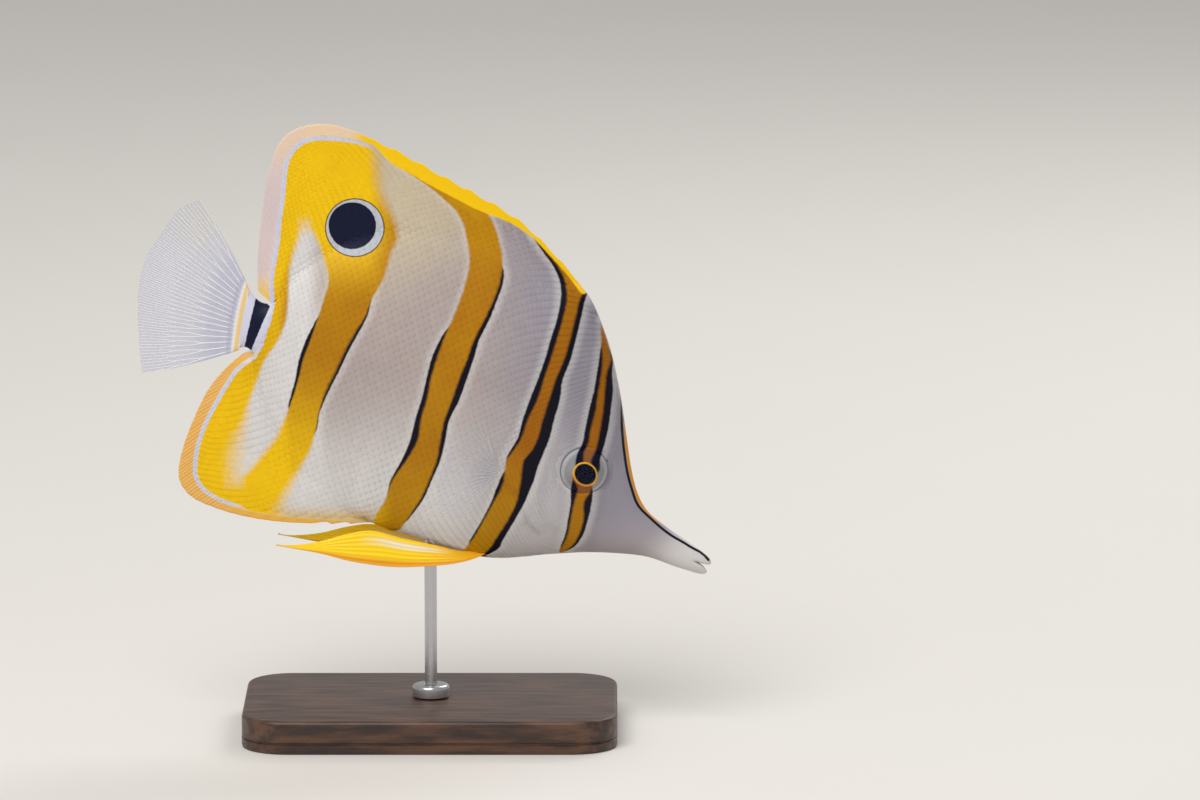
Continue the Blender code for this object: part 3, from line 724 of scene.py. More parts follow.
def relief(points):
    """How far the skin stands out (or in) for the lines and hollows of the head, in millimetres."""
    x, z = as_seen(points)
    cover = distance_to(x, z, GILL_COVER_EDGE)
    ends = ramp(z, -46.0, -42.0) * (1 - ramp(z, -13.0, -9.5))
    made = 0.34 * ends * ramp(cover, -0.35, 0.1) * (1 - ramp(cover, 0.3, 6.0))
    cheek = distance_to(x, z, CHEEK_EDGE)
    ends = ramp(z, -45.0, -41.0) * (1 - ramp(z, -24.0, -20.0))
    made = made + 0.16 * ends * ramp(cheek, -0.5, 0.4) * (1 - ramp(cheek, 0.5, 4.0))
    for centre_x, centre_z in NOSTRILS:
        r = np.hypot(x - centre_x, z - centre_z)
        made = made - 0.45 * (1 - ramp(r, 0.15, 0.5)) + 0.14 * np.exp(-(((r - 0.62) / 0.2) ** 2))
    return made


def eye_socket(points):
    """Draws the skin's points towards the eye's rim, and lowers those inside it."""
    dx, dz = points[..., 0] - EYE_X, points[..., 2] - EYE_Z
    r = np.maximum(np.hypot(dx, dz), 1e-6)
    rim = EYE_RADIUS + 0.04
    off = r - rim
    reach = 1.4
    drawn = np.where(np.abs(off) < reach, np.sign(off) * np.abs(off) ** 1.7 / reach**0.7, off)
    made = points.copy()
    made[..., 0] = EYE_X + dx / r * (rim + drawn)
    made[..., 2] = EYE_Z + dz / r * (rim + drawn)
    on_side = points[..., 1] > 2.0
    raised = 0.1 * np.exp(-(((drawn - 0.25) / 0.25) ** 2)) - 1.6 * (1 - ramp(drawn, -0.95, -0.5))
    made[..., 1] += np.where(on_side, raised, 0.0)
    return made


def fin_grid(root, edge, us, start, ridge_height):
    """A fin of the back or belly, from its root on the body to its free edge.

    Gives its points, the number of the ray at each, and each point's share of the way out.
    """
    upper = start == DORSAL_START
    tip = smooth(edge[:, 0], edge[:, 1:], us)
    tip = root[:, (0, 2)] + (tip - root[:, (0, 2)]) * ramp(us, start - 0.05, start + 0.25)[:, None]
    number = fin_rays_of(us, upper)
    length = np.maximum(np.hypot(*(tip - root[:, (0, 2)]).T), 1e-6)
    notch = np.abs(np.sin(math.pi * number)) ** 1.5
    spiny = (us < DORSAL_SPLIT + 0.05) if upper else (us < ANAL_START + 0.65)
    depth = np.where(spiny, 1.15, 0.1) * notch * ramp(length, 1.0, 3.0) + 0.06
    tip = tip - (tip - root[:, (0, 2)]) / length[:, None] * np.minimum(depth, length * 0.4)[:, None]
    length = np.maximum(np.hypot(*(tip - root[:, (0, 2)]).T), 1e-6)
    cells = 42 if upper else 32
    even = np.linspace(0, 1, cells + 1)
    s = (0.35 * even + 0.65 * np.sin(math.pi / 2 * even))[None, :]
    xz = root[:, None, (0, 2)] + (tip - root[:, (0, 2)])[:, None, :] * s[..., None]
    root_half = root[:, None, 1]
    edge_half = np.minimum(FIN_EDGE_HALF - 0.04, root_half)
    half = root_half + (edge_half - root_half) * s**0.7
    ridge = np.abs(np.cos(math.pi * number))[:, None] ** np.where(spiny, 5.0, 2.0)[:, None]
    height = np.where(spiny, 1.0, 0.4)[:, None] * ridge_height
    shown = ramp(s * length[:, None], 0.5, 4.0) * (1 - ramp((1 - s) * length[:, None], 3.8, 6.0))
    half = half - height * (1 - ridge) * shown * np.minimum(1, root_half)
    half = half * rounded((1 - s) * length[:, None], 0.35) * rounded(FIN_END - us, 0.12)[:, None]
    half = np.maximum(half, 0.0)
    half[:, 0] = root[:, 1]
    points = np.stack([xz[..., 0], half, xz[..., 1]], axis=-1)
    return points, np.broadcast_to(number[:, None], half.shape), np.broadcast_to(s, half.shape)


def unrolled(points):
    """Each point's height on the flattened flank: its own row of points, laid out straight."""
    y, z = points[..., 1], points[..., 2]
    step = np.hypot(np.diff(y, axis=1), np.diff(z, axis=1)) * np.sign(np.diff(z, axis=1))
    along = np.concatenate([np.zeros((len(z), 1)), np.cumsum(step, axis=1)], axis=1)
    middle = z.shape[1] // 2
    return along - along[:, middle, None] + z[:, middle, None]


def grid_faces(rows, columns, first, skip=None):
    """Quads over a grid of points that are numbered by rows from `first`."""
    number = first + np.arange(rows * columns).reshape(rows, columns)
    quads = np.stack([number[:-1, :-1], number[1:, :-1], number[1:, 1:], number[:-1, 1:]], axis=-1)
    keep = np.ones(quads.shape[:2], bool)
    if skip is not None:
        keep[skip] = False
    return quads[keep]


def placed(name, data):
    """A new object in the scene, at the origin unless it is moved."""
    made = bpy.data.objects.new(name, data)
    bpy.context.scene.collection.objects.link(made)
    return made


def new_piece(name, points, faces, merge=2e-6, smooth_degrees=60.0, attributes=None):
    """A closed piece, its points in metres: doubled points merged, faces outwards, sharp edges marked."""
    mesh = bpy.data.meshes.new(name)
    points = np.asarray(points, float).reshape(-1, 3)
    mesh.from_pydata(points.tolist(), [], [list(map(int, face)) for face in faces])
    write_attributes(mesh, attributes or {})
    piece = placed(name, mesh)
    shape = bmesh.new()
    shape.from_mesh(mesh)
    bmesh.ops.remove_doubles(shape, verts=shape.verts, dist=merge)
    bmesh.ops.recalc_face_normals(shape, faces=shape.faces)
    shape.to_mesh(mesh)
    shape.free()
    mesh.shade_smooth()
    mesh.set_sharp_from_angle(angle=math.radians(smooth_degrees))
    return piece


def two_sheets(name, front, back, root, attributes):
    """A closed piece of two grids, on the level fish, that meet all round but at their root.

    root lists the front grid's points along the root, which faces of its own close.
    """
    rows, columns = front.shape[:2]
    first = rows * columns
    faces = [tuple(face) for face in grid_faces(rows, columns, 0)]
    faces += [tuple(face[::-1]) for face in grid_faces(rows, columns, first)]
    faces += [(a, a + first, b + first, b) for a, b in zip(root[:-1], root[1:])]
    points = np.concatenate([front.reshape(-1, 3), back.reshape(-1, 3)])
    values = {label: np.tile(value.ravel(), 2) for label, value in attributes.items()}
    return new_piece(name, to_row(points), faces, attributes=values)


def numbers_of(items, name, kind=float, width=1):
    """One property of all the items of a mesh's list, as an array."""
    made = np.empty(len(items) * width, kind)
    items.foreach_get(name, made)
    return made


def points_of(mesh):
    return numbers_of(mesh.vertices, "co", width=3).reshape(-1, 3)


def to_level(points):
    """Points over the stand, in metres, back on the level fish, in millimetres."""
    x, y, z = (points[..., i] / MM for i in range(3))
    z = z - FLANK_HEIGHT
    return np.stack([x * COS - z * SIN, y, x * SIN + z * COS], axis=-1)


def write_attributes(mesh, attributes):
    """Stores numbers or vectors, one for each of a mesh's points."""
    for label, values in attributes.items():
        values = np.asarray(values, np.float32)
        kind, field = ("FLOAT", "value") if values.ndim == 1 else ("FLOAT_VECTOR", "vector")
        mesh.attributes.new(label, kind, "POINT").data.foreach_set(field, values.ravel())


def unrolled_place(x, height, left):
    """Where a point lies on the unrolled skin: the left flank below, the right flank above."""
    middle = np.where(left, UNROLLED_LEFT, UNROLLED_RIGHT)
    return UNROLLED_ZERO + x * UNROLLED_MM, middle + height * UNROLLED_MM


def write_map(mesh, across, up):
    """Lays the mesh out on the UV map, from one place for each corner of its faces."""
    made = mesh.uv_layers.new(name="OFBake")
    made.uv.foreach_set("vector", np.stack([across, up], axis=-1).astype(np.float32).ravel())


def build_skin(settings):
    us = skin_frames()
    body, mouth = body_grid(us, settings.coat_depth / MM)
    body[..., 1] += relief(body) * ramp(body[..., 1], 0.4, 2.5)
    body = eye_socket(body)
    patches = [(body, np.zeros(body.shape[:2]), np.zeros(body.shape[:2]), unrolled(body))]
    for edge, start, column in ((DORSAL_EDGE, DORSAL_START, -1), (ANAL_EDGE, ANAL_START, 0)):
        rows = np.nonzero((us > start - 1e-6) & (us < FIN_END + 1e-6))[0]
        root = body[rows, column]
        points, number, out = fin_grid(root, edge, us[rows], start, settings.fin_relief / MM)
        flat = unrolled(body)[rows, column][:, None] + points[..., 2] - points[:, :1, 2]
        patches.append((points, number, out, flat))
    lips = np.nonzero(us < MOUTH_OPENS + 1e-6)[0][:-1]
    points, faces, values = [], [], {"ray": [], "fin": [], "unrolled": []}
    first = 0
    for side, _ in SIDES:
        for k, (grid, number, out, flat) in enumerate(patches):
            rows, columns = grid.shape[:2]
            skip = (lips, np.full(len(lips), mouth)) if k == 0 else None
            faces.append(grid_faces(rows, columns, first, skip))
            points.append((grid * (1, side, 1)).reshape(-1, 3))
            for label, value in (("ray", number), ("fin", out), ("unrolled", flat)):
                values[label].append(np.ravel(value))
            first += rows * columns
    level = np.concatenate(points)
    attributes = {label: np.concatenate(value) for label, value in values.items()}
    faces = np.concatenate(faces)
    piece = new_piece("skin", to_row(level), faces, smooth_degrees=50.0, attributes=attributes)
    mesh = piece.data
    level = to_level(points_of(mesh))
    write_attributes(mesh, markings(level, distance_to_fin_edges(level)))
    unrolled_map(mesh, level)
    mesh.materials.append(skin_finish("skin", settings, False))
    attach(piece, "root")
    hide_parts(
        "upper_jaw", "lower_jaw", "snout", "head", "trunk", "tail_base",
        "dorsal_fin_spiny", "dorsal_fin_soft", "anal_fin",
    )


def unrolled_map(mesh, level):
    """Lays the skin out flat on its UV map, each flank apart."""
    flat = numbers_of(mesh.attributes["unrolled"].data, "value", np.float32)
    corners = numbers_of(mesh.loops, "vertex_index", np.int32)
    sides = numbers_of(mesh.polygons, "center", width=3)[1::3]
    left = np.repeat(sides > 0, numbers_of(mesh.polygons, "loop_total", np.int32))
    write_map(mesh, *unrolled_place(level[corners, 0], flat[corners], left))
    mesh.attributes.remove(mesh.attributes["unrolled"])


# Scales


def scale_plate():
    """One scale of unit length, width and thickness: its root at the origin, its free end along -x."""
    count = 9
    angles = 2 * math.pi * (np.arange(count) + 0.5) / count
    reach = 0.5 - 0.5 * np.cos(angles)
    widths = 0.5 * np.sin(angles) * (0.86 + 0.14 * np.cos(angles * 2) + 0.12 * (reach - 0.5))
    rim = np.stack([-reach, widths, np.zeros(count)], axis=-1)
    crown = np.array([(-0.52, 0.0, 0.5), (-0.5, 0.0, -0.3)])
    points = np.concatenate([rim, crown])
    faces = [(i, (i + 1) % count, count) for i in range(count)]
    faces += [((i + 1) % count, i, count + 1) for i in range(count)]
    return points, faces


def flow_turn(x, z):
    """The angle by which the scales' direction leaves the fish's level, upwards at the back's rear."""
    up = ramp(z, 12.0, 34.0) * ramp(-x, 4.0, 34.0)
    down = ramp(-z, 24.0, 48.0) * ramp(-x, 6.0, 34.0)
    return math.radians(38.0) * up - math.radians(34.0) * down


def scale_places(skin, settings):
    """The scales' roots on the left flank: points, normals, directions, sizes and unrolled places."""
    level = to_level(points_of(skin.data))
    quads = [tuple(face.vertices) for face in skin.data.polygons]
    tree = BVHTree.FromPolygons(level.tolist(), quads)
    along, across = settings.pitch_along / MM, settings.pitch_across / MM
    heights = np.arange(-58.0, 42.0, 0.4)
    found = []
    for half_step in (0, 1):
        x, previous = FIRST_SCALE, 0.5
        while x > LAST_SCALE:
            pitch = along * float(size_at(x))
            place = x + half_step * previous / 2
            hits = [(z, cast(tree, place, z)[0]) for z in heights]
            hits = [(z, hit.y) for z, hit in hits if hit is not None and hit.y > 0.0]
            if len(hits) > 4:
                zs, ys = np.array(hits).T
                climb = np.concatenate([[0.0], np.cumsum(np.hypot(np.diff(zs), np.diff(ys)))])
                midline = SCALE_MIDLINE - SCALE_MIDLINE_SLOPE * place
                middle = np.interp(midline, zs, climb)
                row_pitch = across * float(size_at(place)) ** 0.8
                count = int(70.0 / row_pitch) + 2
                reach = (2 * np.arange(-count, count + 1) + half_step) * row_pitch
                past = np.maximum(np.abs(reach) - CLOSER_ROWS_FROM, 0.0)
                wanted = middle + reach - np.sign(reach) * CLOSER_ROWS_BY * past
                wanted = wanted[(wanted > 0.4) & (wanted < climb[-1] - 0.4)]
                for z, far in zip(np.interp(wanted, climb, zs), wanted):
                    where, normal = resting_place(tree, place, z)
                    if where is not None and normal.y > 0.12:
                        found.append((*where, *normal, place, far - middle + midline))
            x -= pitch
            previous = pitch
    found = np.array(found)
    roots, normals, places = found[:, :3], found[:, 3:6], found[:, 6:]
    marks = markings(roots, distance_to_fin_edges(roots))
    x, z = roots[:, 0], roots[:, 2]
    off_eye = np.hypot(x - EYE_X, z - EYE_Z) - EYE_RADIUS
    off_line = np.where((x < 0.0) & ((z > 0.0) | (x < -14.0)), marks["line"], 9.0)
    off_margin = np.minimum(-marks["margin"], off_line - 0.3)
    keep = (off_eye > 0.65) & (off_margin > np.where(z < -30.0, 0.5, 0.35)) & (x + 0.2 * z < 58.5)
    size = size_at(x) * (1 - 0.2 * (1 - ramp(off_margin, 0.0, 9.0)))
    fade = ramp(x + 0.2 * z, 47.0, 58.0)
    size = size * (1 - 0.25 * fade)
    roots = roots - normals * 0.08 * fade[:, None]
    turn = flow_turn(x, z)
    back = np.stack([-np.cos(turn), np.zeros(len(x)), np.sin(turn)], axis=-1)
    back -= normals * (back * normals).sum(axis=-1, keepdims=True)
    back /= np.linalg.norm(back, axis=-1, keepdims=True)
    return roots[keep], normals[keep], back[keep], size[keep], places[keep]


def cast(tree, x, z):
    """The left flank's point and normal at x and z, or None twice."""
    return tree.ray_cast(Vector((x, 30.0, z)), Vector((0, -1, 0)), 30.0)[:2]


def resting_place(tree, x, z):
    """Where a scale at x and z rests on the left flank, and which way it faces, fin rays evened out."""
    reach = 1.1
    where, normal = cast(tree, x, z)
    steps = ((reach, 0), (-reach, 0), (0, reach), (0, -reach))
    around = [cast(tree, x + dx, z + dz)[0] for dx, dz in steps]
    if where is None or None in around:
        return where, normal
    ys = [hit.y for hit in around]
    if max(ys) - min(ys) < 1.6:
        normal = Vector((ys[1] - ys[0], 2 * reach, ys[3] - ys[2])).normalized()
        where.y = max(where.y, min(sum(ys) / 4, where.y + 0.12))
    return where, normal


def size_at(x):
    """A scale's size, as a share of the flank's: small on the face, smaller again towards the tail."""
    return 1 - 0.58 * ramp(x, 12.0, 44.0) - 0.34 * ramp(-x, 18.0, 44.0)


def new_tree(name, inputs):
    """The sheet of a new geometry tree, and the sockets of its named inputs."""
    tree = bpy.data.node_groups.new(name, "GeometryNodeTree")
    for label, kind in inputs:
        tree.interface.new_socket(label, in_out="INPUT", socket_type=kind)
    tree.interface.new_socket("Made", in_out="OUTPUT", socket_type="NodeSocketGeometry")
    sheet = Sheet(tree)
    return sheet, sheet.add("NodeGroupInput").outputs


def scale_tree():
    """Sets a plate on every point, turned and sized as the point says."""
    sheet, given = new_tree("Scales on the skin", (
        ("Places", "NodeSocketGeometry"),
        ("Plate", "NodeSocketObject"),
        ("Length", "NodeSocketFloat"),
        ("Width", "NodeSocketFloat"),
        ("Thickness", "NodeSocketFloat"),
        ("Finish", "NodeSocketMaterial"),
    ))
    plate = sheet.add("GeometryNodeObjectInfo", sockets={"Object": given["Plate"]}).outputs["Geometry"]
    turn = sheet.add("GeometryNodeInputNamedAttribute", {"data_type": "FLOAT_VECTOR"}, {"Name": "turn"})
    size = sheet.read_number("size")
    euler = sheet.add("FunctionNodeEulerToRotation", sockets={0: turn.outputs["Attribute"]})
    sizes = sheet.add("ShaderNodeCombineXYZ", sockets={
        "X": size * Value(sheet, given["Length"]),
        "Y": size * Value(sheet, given["Width"]),
        "Z": size * Value(sheet, given["Thickness"]),
    })
    instances = sheet.add("GeometryNodeInstanceOnPoints", sockets={
        "Points": given["Places"],
        "Instance": plate,
        "Rotation": euler.outputs[0],
        "Scale": sizes.outputs[0],
    })
    real = sheet.add("GeometryNodeRealizeInstances", sockets={"Geometry": instances.outputs[0]})
    sheet.finish_tree(real.outputs[0], given["Finish"])
    return sheet.tree


def grown(name, points, edges, attributes, tree, inputs):
    """The plain mesh that a geometry tree makes from points and edges, as a new piece."""
    mesh = bpy.data.meshes.new(name)
    mesh.from_pydata(points.tolist(), edges, [])
    write_attributes(mesh, attributes)
    source = placed(name + "_source", mesh)
    modifier = source.modifiers.new("grown", "NODES")
    modifier.node_group = tree
    sockets = {item.name: item.identifier for item in tree.interface.items_tree if item.in_out == "INPUT"}
    for label, value in inputs.items():
        modifier[sockets[label]] = value
    bpy.context.view_layer.update()
    graph = bpy.context.evaluated_depsgraph_get()
    made = bpy.data.meshes.new_from_object(
        source.evaluated_get(graph), preserve_all_data_layers=True, depsgraph=graph
    )
    made.name = name
    bpy.data.objects.remove(source)
    bpy.data.meshes.remove(mesh)
    if not made.polygons:
        raise RuntimeError(f"{name} came out empty")
    return placed(name, made)


def build_scales(settings, skin_settings):
    skin = bpy.data.objects["skin"]
    roots, normals, back, size, places = scale_places(skin, settings)
    plate_points, plate_faces = scale_plate()
    plate = new_piece("scale_plate", plate_points, plate_faces)
    plate_points = points_of(plate.data)
    count = len(plate_points)
    tree = scale_tree()
    chance = np.random.default_rng(settings.seed)
    for side, label in SIDES:
        mirror = np.array([1.0, side, 1.0])
        out, rear = turned_to_row(normals * mirror), turned_to_row(back * mirror)
        lean = settings.tilt * (1 + 0.15 * chance.standard_normal(len(out)))[:, None]
        x_axis = -rear * np.cos(lean) - out * np.sin(lean)
        z_axis = out * np.cos(lean) - rear * np.sin(lean)
        y_axis = np.cross(z_axis, x_axis)
        turns = [Matrix(np.stack(axes, axis=-1).tolist()).to_euler() for axes in zip(x_axis, y_axis, z_axis)]
        piece = grown(
            f"scales_{label}",
            to_row(roots * mirror),
            [],
            {"turn": np.array(turns), "size": size},
            tree,
            {
                "Plate": plate,
                "Length": settings.length,
                "Width": settings.width,
                "Thickness": settings.thickness,
                "Finish": skin_finish(f"scales_{label}", skin_settings, True),
            },
        )
        mesh = piece.data
        level = to_level(points_of(mesh))
        write_attributes(mesh, markings(level, distance_to_fin_edges(level)))
        tones = chance.uniform(0, 1, len(roots))
        write_attributes(mesh, {
            "tone": np.repeat(tones, count),
            "reach": np.tile(-plate_points[:, 0], len(roots)),
            "aside": np.tile(plate_points[:, 1], len(roots)),
        })
        number, local = np.divmod(numbers_of(mesh.loops, "vertex_index", np.int32), count)
        across, up = unrolled_place(places[number, 0], places[number, 1], side > 0)
        across = across + SCALE_PATCH * (plate_points[local, 0] + 0.5)
        write_map(mesh, across, up + SCALE_PATCH * plate_points[local, 1])
        mesh.shade_smooth()
        mesh.set_sharp_from_angle(angle=math.radians(75))
        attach(piece, "root")
    bpy.data.objects.remove(plate)


# Eyes


def eye_axes(side):
    """The eye's middle and its forward, upward and outward directions on the level fish."""
    centre = np.array([EYE_X, side * (side_at(EYE_X, EYE_Z) - EYE_SUNK), EYE_Z])
    forward = np.array([math.cos(EYE_FORWARD), -side * math.sin(EYE_FORWARD), 0.0])
    outward = np.array([math.sin(EYE_FORWARD), side * math.cos(EYE_FORWARD), 0.0])
    return centre, forward, np.array([0.0, 0.0, 1.0]), outward


def disc_points(rings, side):
    """Rings of points on an eye, from each ring's radius, its share in the pupil's oval, and its height."""
    centre, forward, up, outward = eye_axes(side)
    angles = np.linspace(0, 2 * math.pi, EYE_SPOKES, endpoint=False)
    made = []
    for radius, oval, height in rings:
        a = radius * (1 - oval + oval * PUPIL_LONG) * np.cos(angles)
        b = radius * (1 - oval + oval * PUPIL_SHORT) * np.sin(angles)
        ahead = a * math.cos(PUPIL_TURN) - b * math.sin(PUPIL_TURN) + oval * PUPIL_X
        above = a * math.sin(PUPIL_TURN) + b * math.cos(PUPIL_TURN) + oval * PUPIL_Z
        made.append(centre + ahead[:, None] * forward + above[:, None] * up + height * outward)
    return np.array(made)


def ring_faces(rings, spokes):
    """Quads between rings of points, numbered ring by ring."""
    faces = []
    for start in range(0, (rings - 1) * spokes, spokes):
        for j in range(spokes):
            k = (j + 1) % spokes
            faces.append((start + j, start + k, start + spokes + k, start + spokes + j))
    return faces


def eye_rings():
    """The eye's profile: a domed pupil, the raised ring round it, the iris and the back of the ball."""
    rings = []
    for share in np.sin(np.linspace(0.0, math.pi / 2, 12)):
        height = 0.62 + 0.52 * math.sqrt(max(0.0, 1 - share**2))
        rings.append((max(share, 1e-4) * PUPIL_RADIUS, 1.0, height))
    for step in np.linspace(0, math.pi, 7)[1:]:
        rings.append((PUPIL_RADIUS + 0.2 - 0.2 * math.cos(step), 1.0, 0.62 + 0.17 * math.sin(step)))
    inner = PUPIL_RADIUS + 0.4
    for share in np.linspace(0, 1, 22)[1:]:
        height = 0.58 * (1 - share**1.6) + 0.06
        rings.append((inner + (EYE_BALL - inner) * share, float(1 - ramp(share, 0.0, 0.8)), height))
    for angle in np.linspace(0, math.pi / 2, 6)[1:]:
        rings.append((EYE_BALL * max(math.cos(angle), 1e-4), 0.0, 0.06 - 2.1 * math.sin(angle)))
    return rings


def dome_rings(thickness):
    """The clear dome's profile: its outside, then its inside."""
    share = np.maximum(np.linspace(0, 1, 24), 1e-4)
    radius, height = share * (EYE_RADIUS - 0.02), 0.02 + (EYE_DOME - 0.2) * (1 - share**2.2)
    outside = np.stack([radius, np.zeros(len(share)), height], axis=-1)
    inside = outside * (1 - thickness / EYE_RADIUS, 0.0, 1 - thickness / EYE_DOME)
    return np.concatenate([outside, inside[::-1]])


def build_eyes(settings):
    rings = eye_rings()
    radii = np.array([radius for radius, _, _ in rings])
    spokes = np.arange(EYE_SPOKES)
    down = -np.sin(2 * math.pi * spokes / EYE_SPOKES + PUPIL_TURN)
    attributes = {
        "from_pupil": np.repeat(radii - PUPIL_RADIUS, EYE_SPOKES),
        "spoke": np.tile(spokes, len(rings)),
        "below": np.tile(down, len(rings)),
    }
    dome = dome_rings(settings.cornea_thickness / MM)
    for side, label in SIDES:
        points = to_row(disc_points(rings, side))
        faces = ring_faces(len(rings), EYE_SPOKES)
        name = f"eye_{label}_detail"
        piece = new_piece(name, points, faces, smooth_degrees=70.0, attributes=attributes)
        level = to_level(points_of(piece.data))
        write_attributes(piece.data, markings(level, np.full(len(level), FAR)))
        piece.data.materials.append(eye_finish(f"eye_{label}", settings))
        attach(piece, "root")
        points = to_row(disc_points(dome, side))
        cornea = new_piece(f"cornea_{label}", points, ring_faces(len(dome), EYE_SPOKES))
        cornea.data.materials.append(cornea_finish(f"cornea_{label}"))
        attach(cornea, "root")
        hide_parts(f"eye_{label}")


# Clear fins, with their rays


def ray_tree():
    """Gives every line a round body as thick as its points say."""
    sheet, given = new_tree("Fin rays", (
        ("Lines", "NodeSocketGeometry"),
        ("Thickness", "NodeSocketFloat"),
        ("Sides", "NodeSocketInt"),
        ("Finish", "NodeSocketMaterial"),
    ))
    curve = sheet.add("GeometryNodeMeshToCurve", sockets={"Mesh": given["Lines"]})
    circle = sheet.add("GeometryNodeCurvePrimitiveCircle", sockets={
        "Resolution": given["Sides"],
        "Radius": 1.0,
    })
    round_rays = sheet.add("GeometryNodeCurveToMesh", sockets={
        "Curve": curve.outputs[0],
        "Profile Curve": circle.outputs[0],
        "Scale": sheet.read_number("half_thickness") * Value(sheet, given["Thickness"]),
        "Fill Caps": True,
    })
    soft = sheet.add("GeometryNodeSetShadeSmooth", sockets={"Geometry": round_rays.outputs[0]})
    real = sheet.add("GeometryNodeRealizeInstances", sockets={"Geometry": soft.outputs[0]})
    sheet.finish_tree(real.outputs[0], given["Finish"])
    return sheet.tree


def branched_rays(count, surface, forks, reach, last_radius):
    """The lines of a fin's branching rays, as points in metres, edges and the points' attributes.

    surface(across, out) gives points of the level fish, forks the shares of the length at which every
    ray splits in two, reach how far out the rays end, and last_radius their thickness there, where
    it is 1 at the root. A branch is a little thinner than its stem.
    """
    stretch = 7
    lines = []
    for k in range(count):
        stems = [((k + 0.5) / count,) * 2]
        for level, (begin, end) in enumerate(zip((0.0, *forks), (*forks, 1.0))):
            outs = np.linspace(begin, end, stretch)
            bend = ramp(outs, begin, begin + 0.35 * (1 - begin))
            radii = (1.0 + (last_radius - 1.0) * outs) * 0.86**level
            apart = 0.5 / count / 2 ** (level + 1)
            tips = []
            for before, at in stems:
                across = before + (at - before) * bend
                lines.append(np.stack([across, outs * reach, radii]))
                tips += [(at, at - apart), (at, at + apart)]
            stems = tips
    across, out, radii = np.concatenate(lines, axis=1)
    number = np.arange(len(across)).reshape(-1, stretch)
    edges = np.stack([number[:, :-1], number[:, 1:]], axis=-1).reshape(-1, 2).tolist()
    attributes = {"half_thickness": radii, "across": across, "out": out}
    return to_row(surface(across, out)), edges, attributes


def tail_surface(across, out):
    """The tail fin's middle, as points of the level fish: across from below to above, out from the root."""
    end = FRAMES[LAST_FRAME]
    low, high = end[2:4] + (0.6, 0.5), end[0:2] + (0.6, -0.5)
    root = low + (high - low) * across[..., None]
    tip = smooth(TAIL_EDGE[:, 0], TAIL_EDGE[:, 1:], np.clip(across, 0, 1))
    xz = root + (tip - root) * out[..., None]
    bow = TAIL_BOW * np.sin(math.pi * out) * np.abs(2 * across - 1) ** 3 * np.sign(across - 0.5)
    return np.stack([xz[..., 0], np.zeros(np.shape(out)), xz[..., 1] + bow], axis=-1)


def pectoral_surface(side):
    """The pectoral fan on one side, as points of the level fish."""
    turn = Matrix.Rotation(-side * PECTORAL_OUT, 3, "Z") @ Matrix.Rotation(-PECTORAL_DROP, 3, "Y")
    turn = np.array(turn)
    place = np.array([PECTORAL_X, side * (side_at(PECTORAL_X, PECTORAL_Z) + 0.75), PECTORAL_Z])

    def surface(across, out):
        angle = PECTORAL_LOW + (PECTORAL_HIGH - PECTORAL_LOW) * across
        length = (PECTORAL_LENGTH - 0.3) * (1 - 0.45 * (across / 0.62 - 1) ** 2) * out
        up = PECTORAL_ROOT * (across - 0.5) + length * np.sin(angle)
        bulge = -0.18 * np.sin(math.pi * out) * side
        return place + np.stack([-length * np.cos(angle), bulge, up], axis=-1) @ turn.T

    return surface


def web(name, surface, root_half, edge_half, rays, steps, notch):
    """A thin closed web between the rays, a little scalloped along its free edge."""
    across, out = np.linspace(0.006, 0.994, rays * 6 + 1), np.linspace(0, 1, steps)
    u, v = np.meshgrid(across, out, indexing="ij")
    middle = surface(u, v * (1 - notch * np.abs(np.sin(math.pi * u * rays)) * v**4))
    normal = np.cross(np.gradient(middle, axis=0), np.gradient(middle, axis=1))
    normal /= np.maximum(np.linalg.norm(normal, axis=-1, keepdims=True), 1e-9)
    rim = rounded(np.minimum(u - across[0], across[-1] - u) * 40, 0.4) * rounded((1 - v) * 14, 0.4)
    half = normal * ((root_half + (edge_half - root_half) * v) * rim)[..., None]
    root = np.arange(len(across)) * steps
    return two_sheets(name, middle + half, middle - half, root, {"across": u, "out": v})


def build_tail_fin(settings):
    lines = branched_rays(TAIL_RAYS, tail_surface, (0.3, 0.62), 0.988, 0.6)
    rays = grown("tail_rays", *lines, ray_tree(), {
        "Thickness": settings.ray_thickness / 2,
        "Sides": 6,
        "Finish": ray_finish("tail_rays", settings),
    })
    webbing = web("tail_web", tail_surface, 0.08, 0.03, TAIL_RAYS * 2, 26, 0.009)
    webbing.data.materials.append(web_finish("tail_web", settings, settings.web_alpha))
    flesh = tail_root()
    flesh.data.materials.append(tail_root_finish("tail_root", settings))
    for piece in (rays, webbing, flesh):
        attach(piece, "root")
    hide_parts("tail_fin")


def tail_root():
    """The fleshy root of the tail fin, thinning out between the rays."""
    across, out = np.linspace(0, 1, TAIL_RAYS * 8 + 1), np.linspace(0, 1, 16)
    u, v = np.meshgrid(across, out, indexing="ij")
    front = tail_surface(u, v * (0.16 + 0.012 * np.abs(np.sin(math.pi * u * TAIL_RAYS))))
    ridge = 1 - 0.12 * np.abs(np.cos(math.pi * u * TAIL_RAYS)) * v
    rim = rounded(np.minimum(u, 1 - u) * 15, 1.4) * rounded(1 - v, 0.08)
    front[..., 1] = (0.06 + 0.96 * (1 - v) ** 1.1) * ridge * rim
    root = np.arange(len(across)) * len(out)
    return two_sheets("tail_root", front, front * (1, -1, 1), root, {"across": u, "out": v})


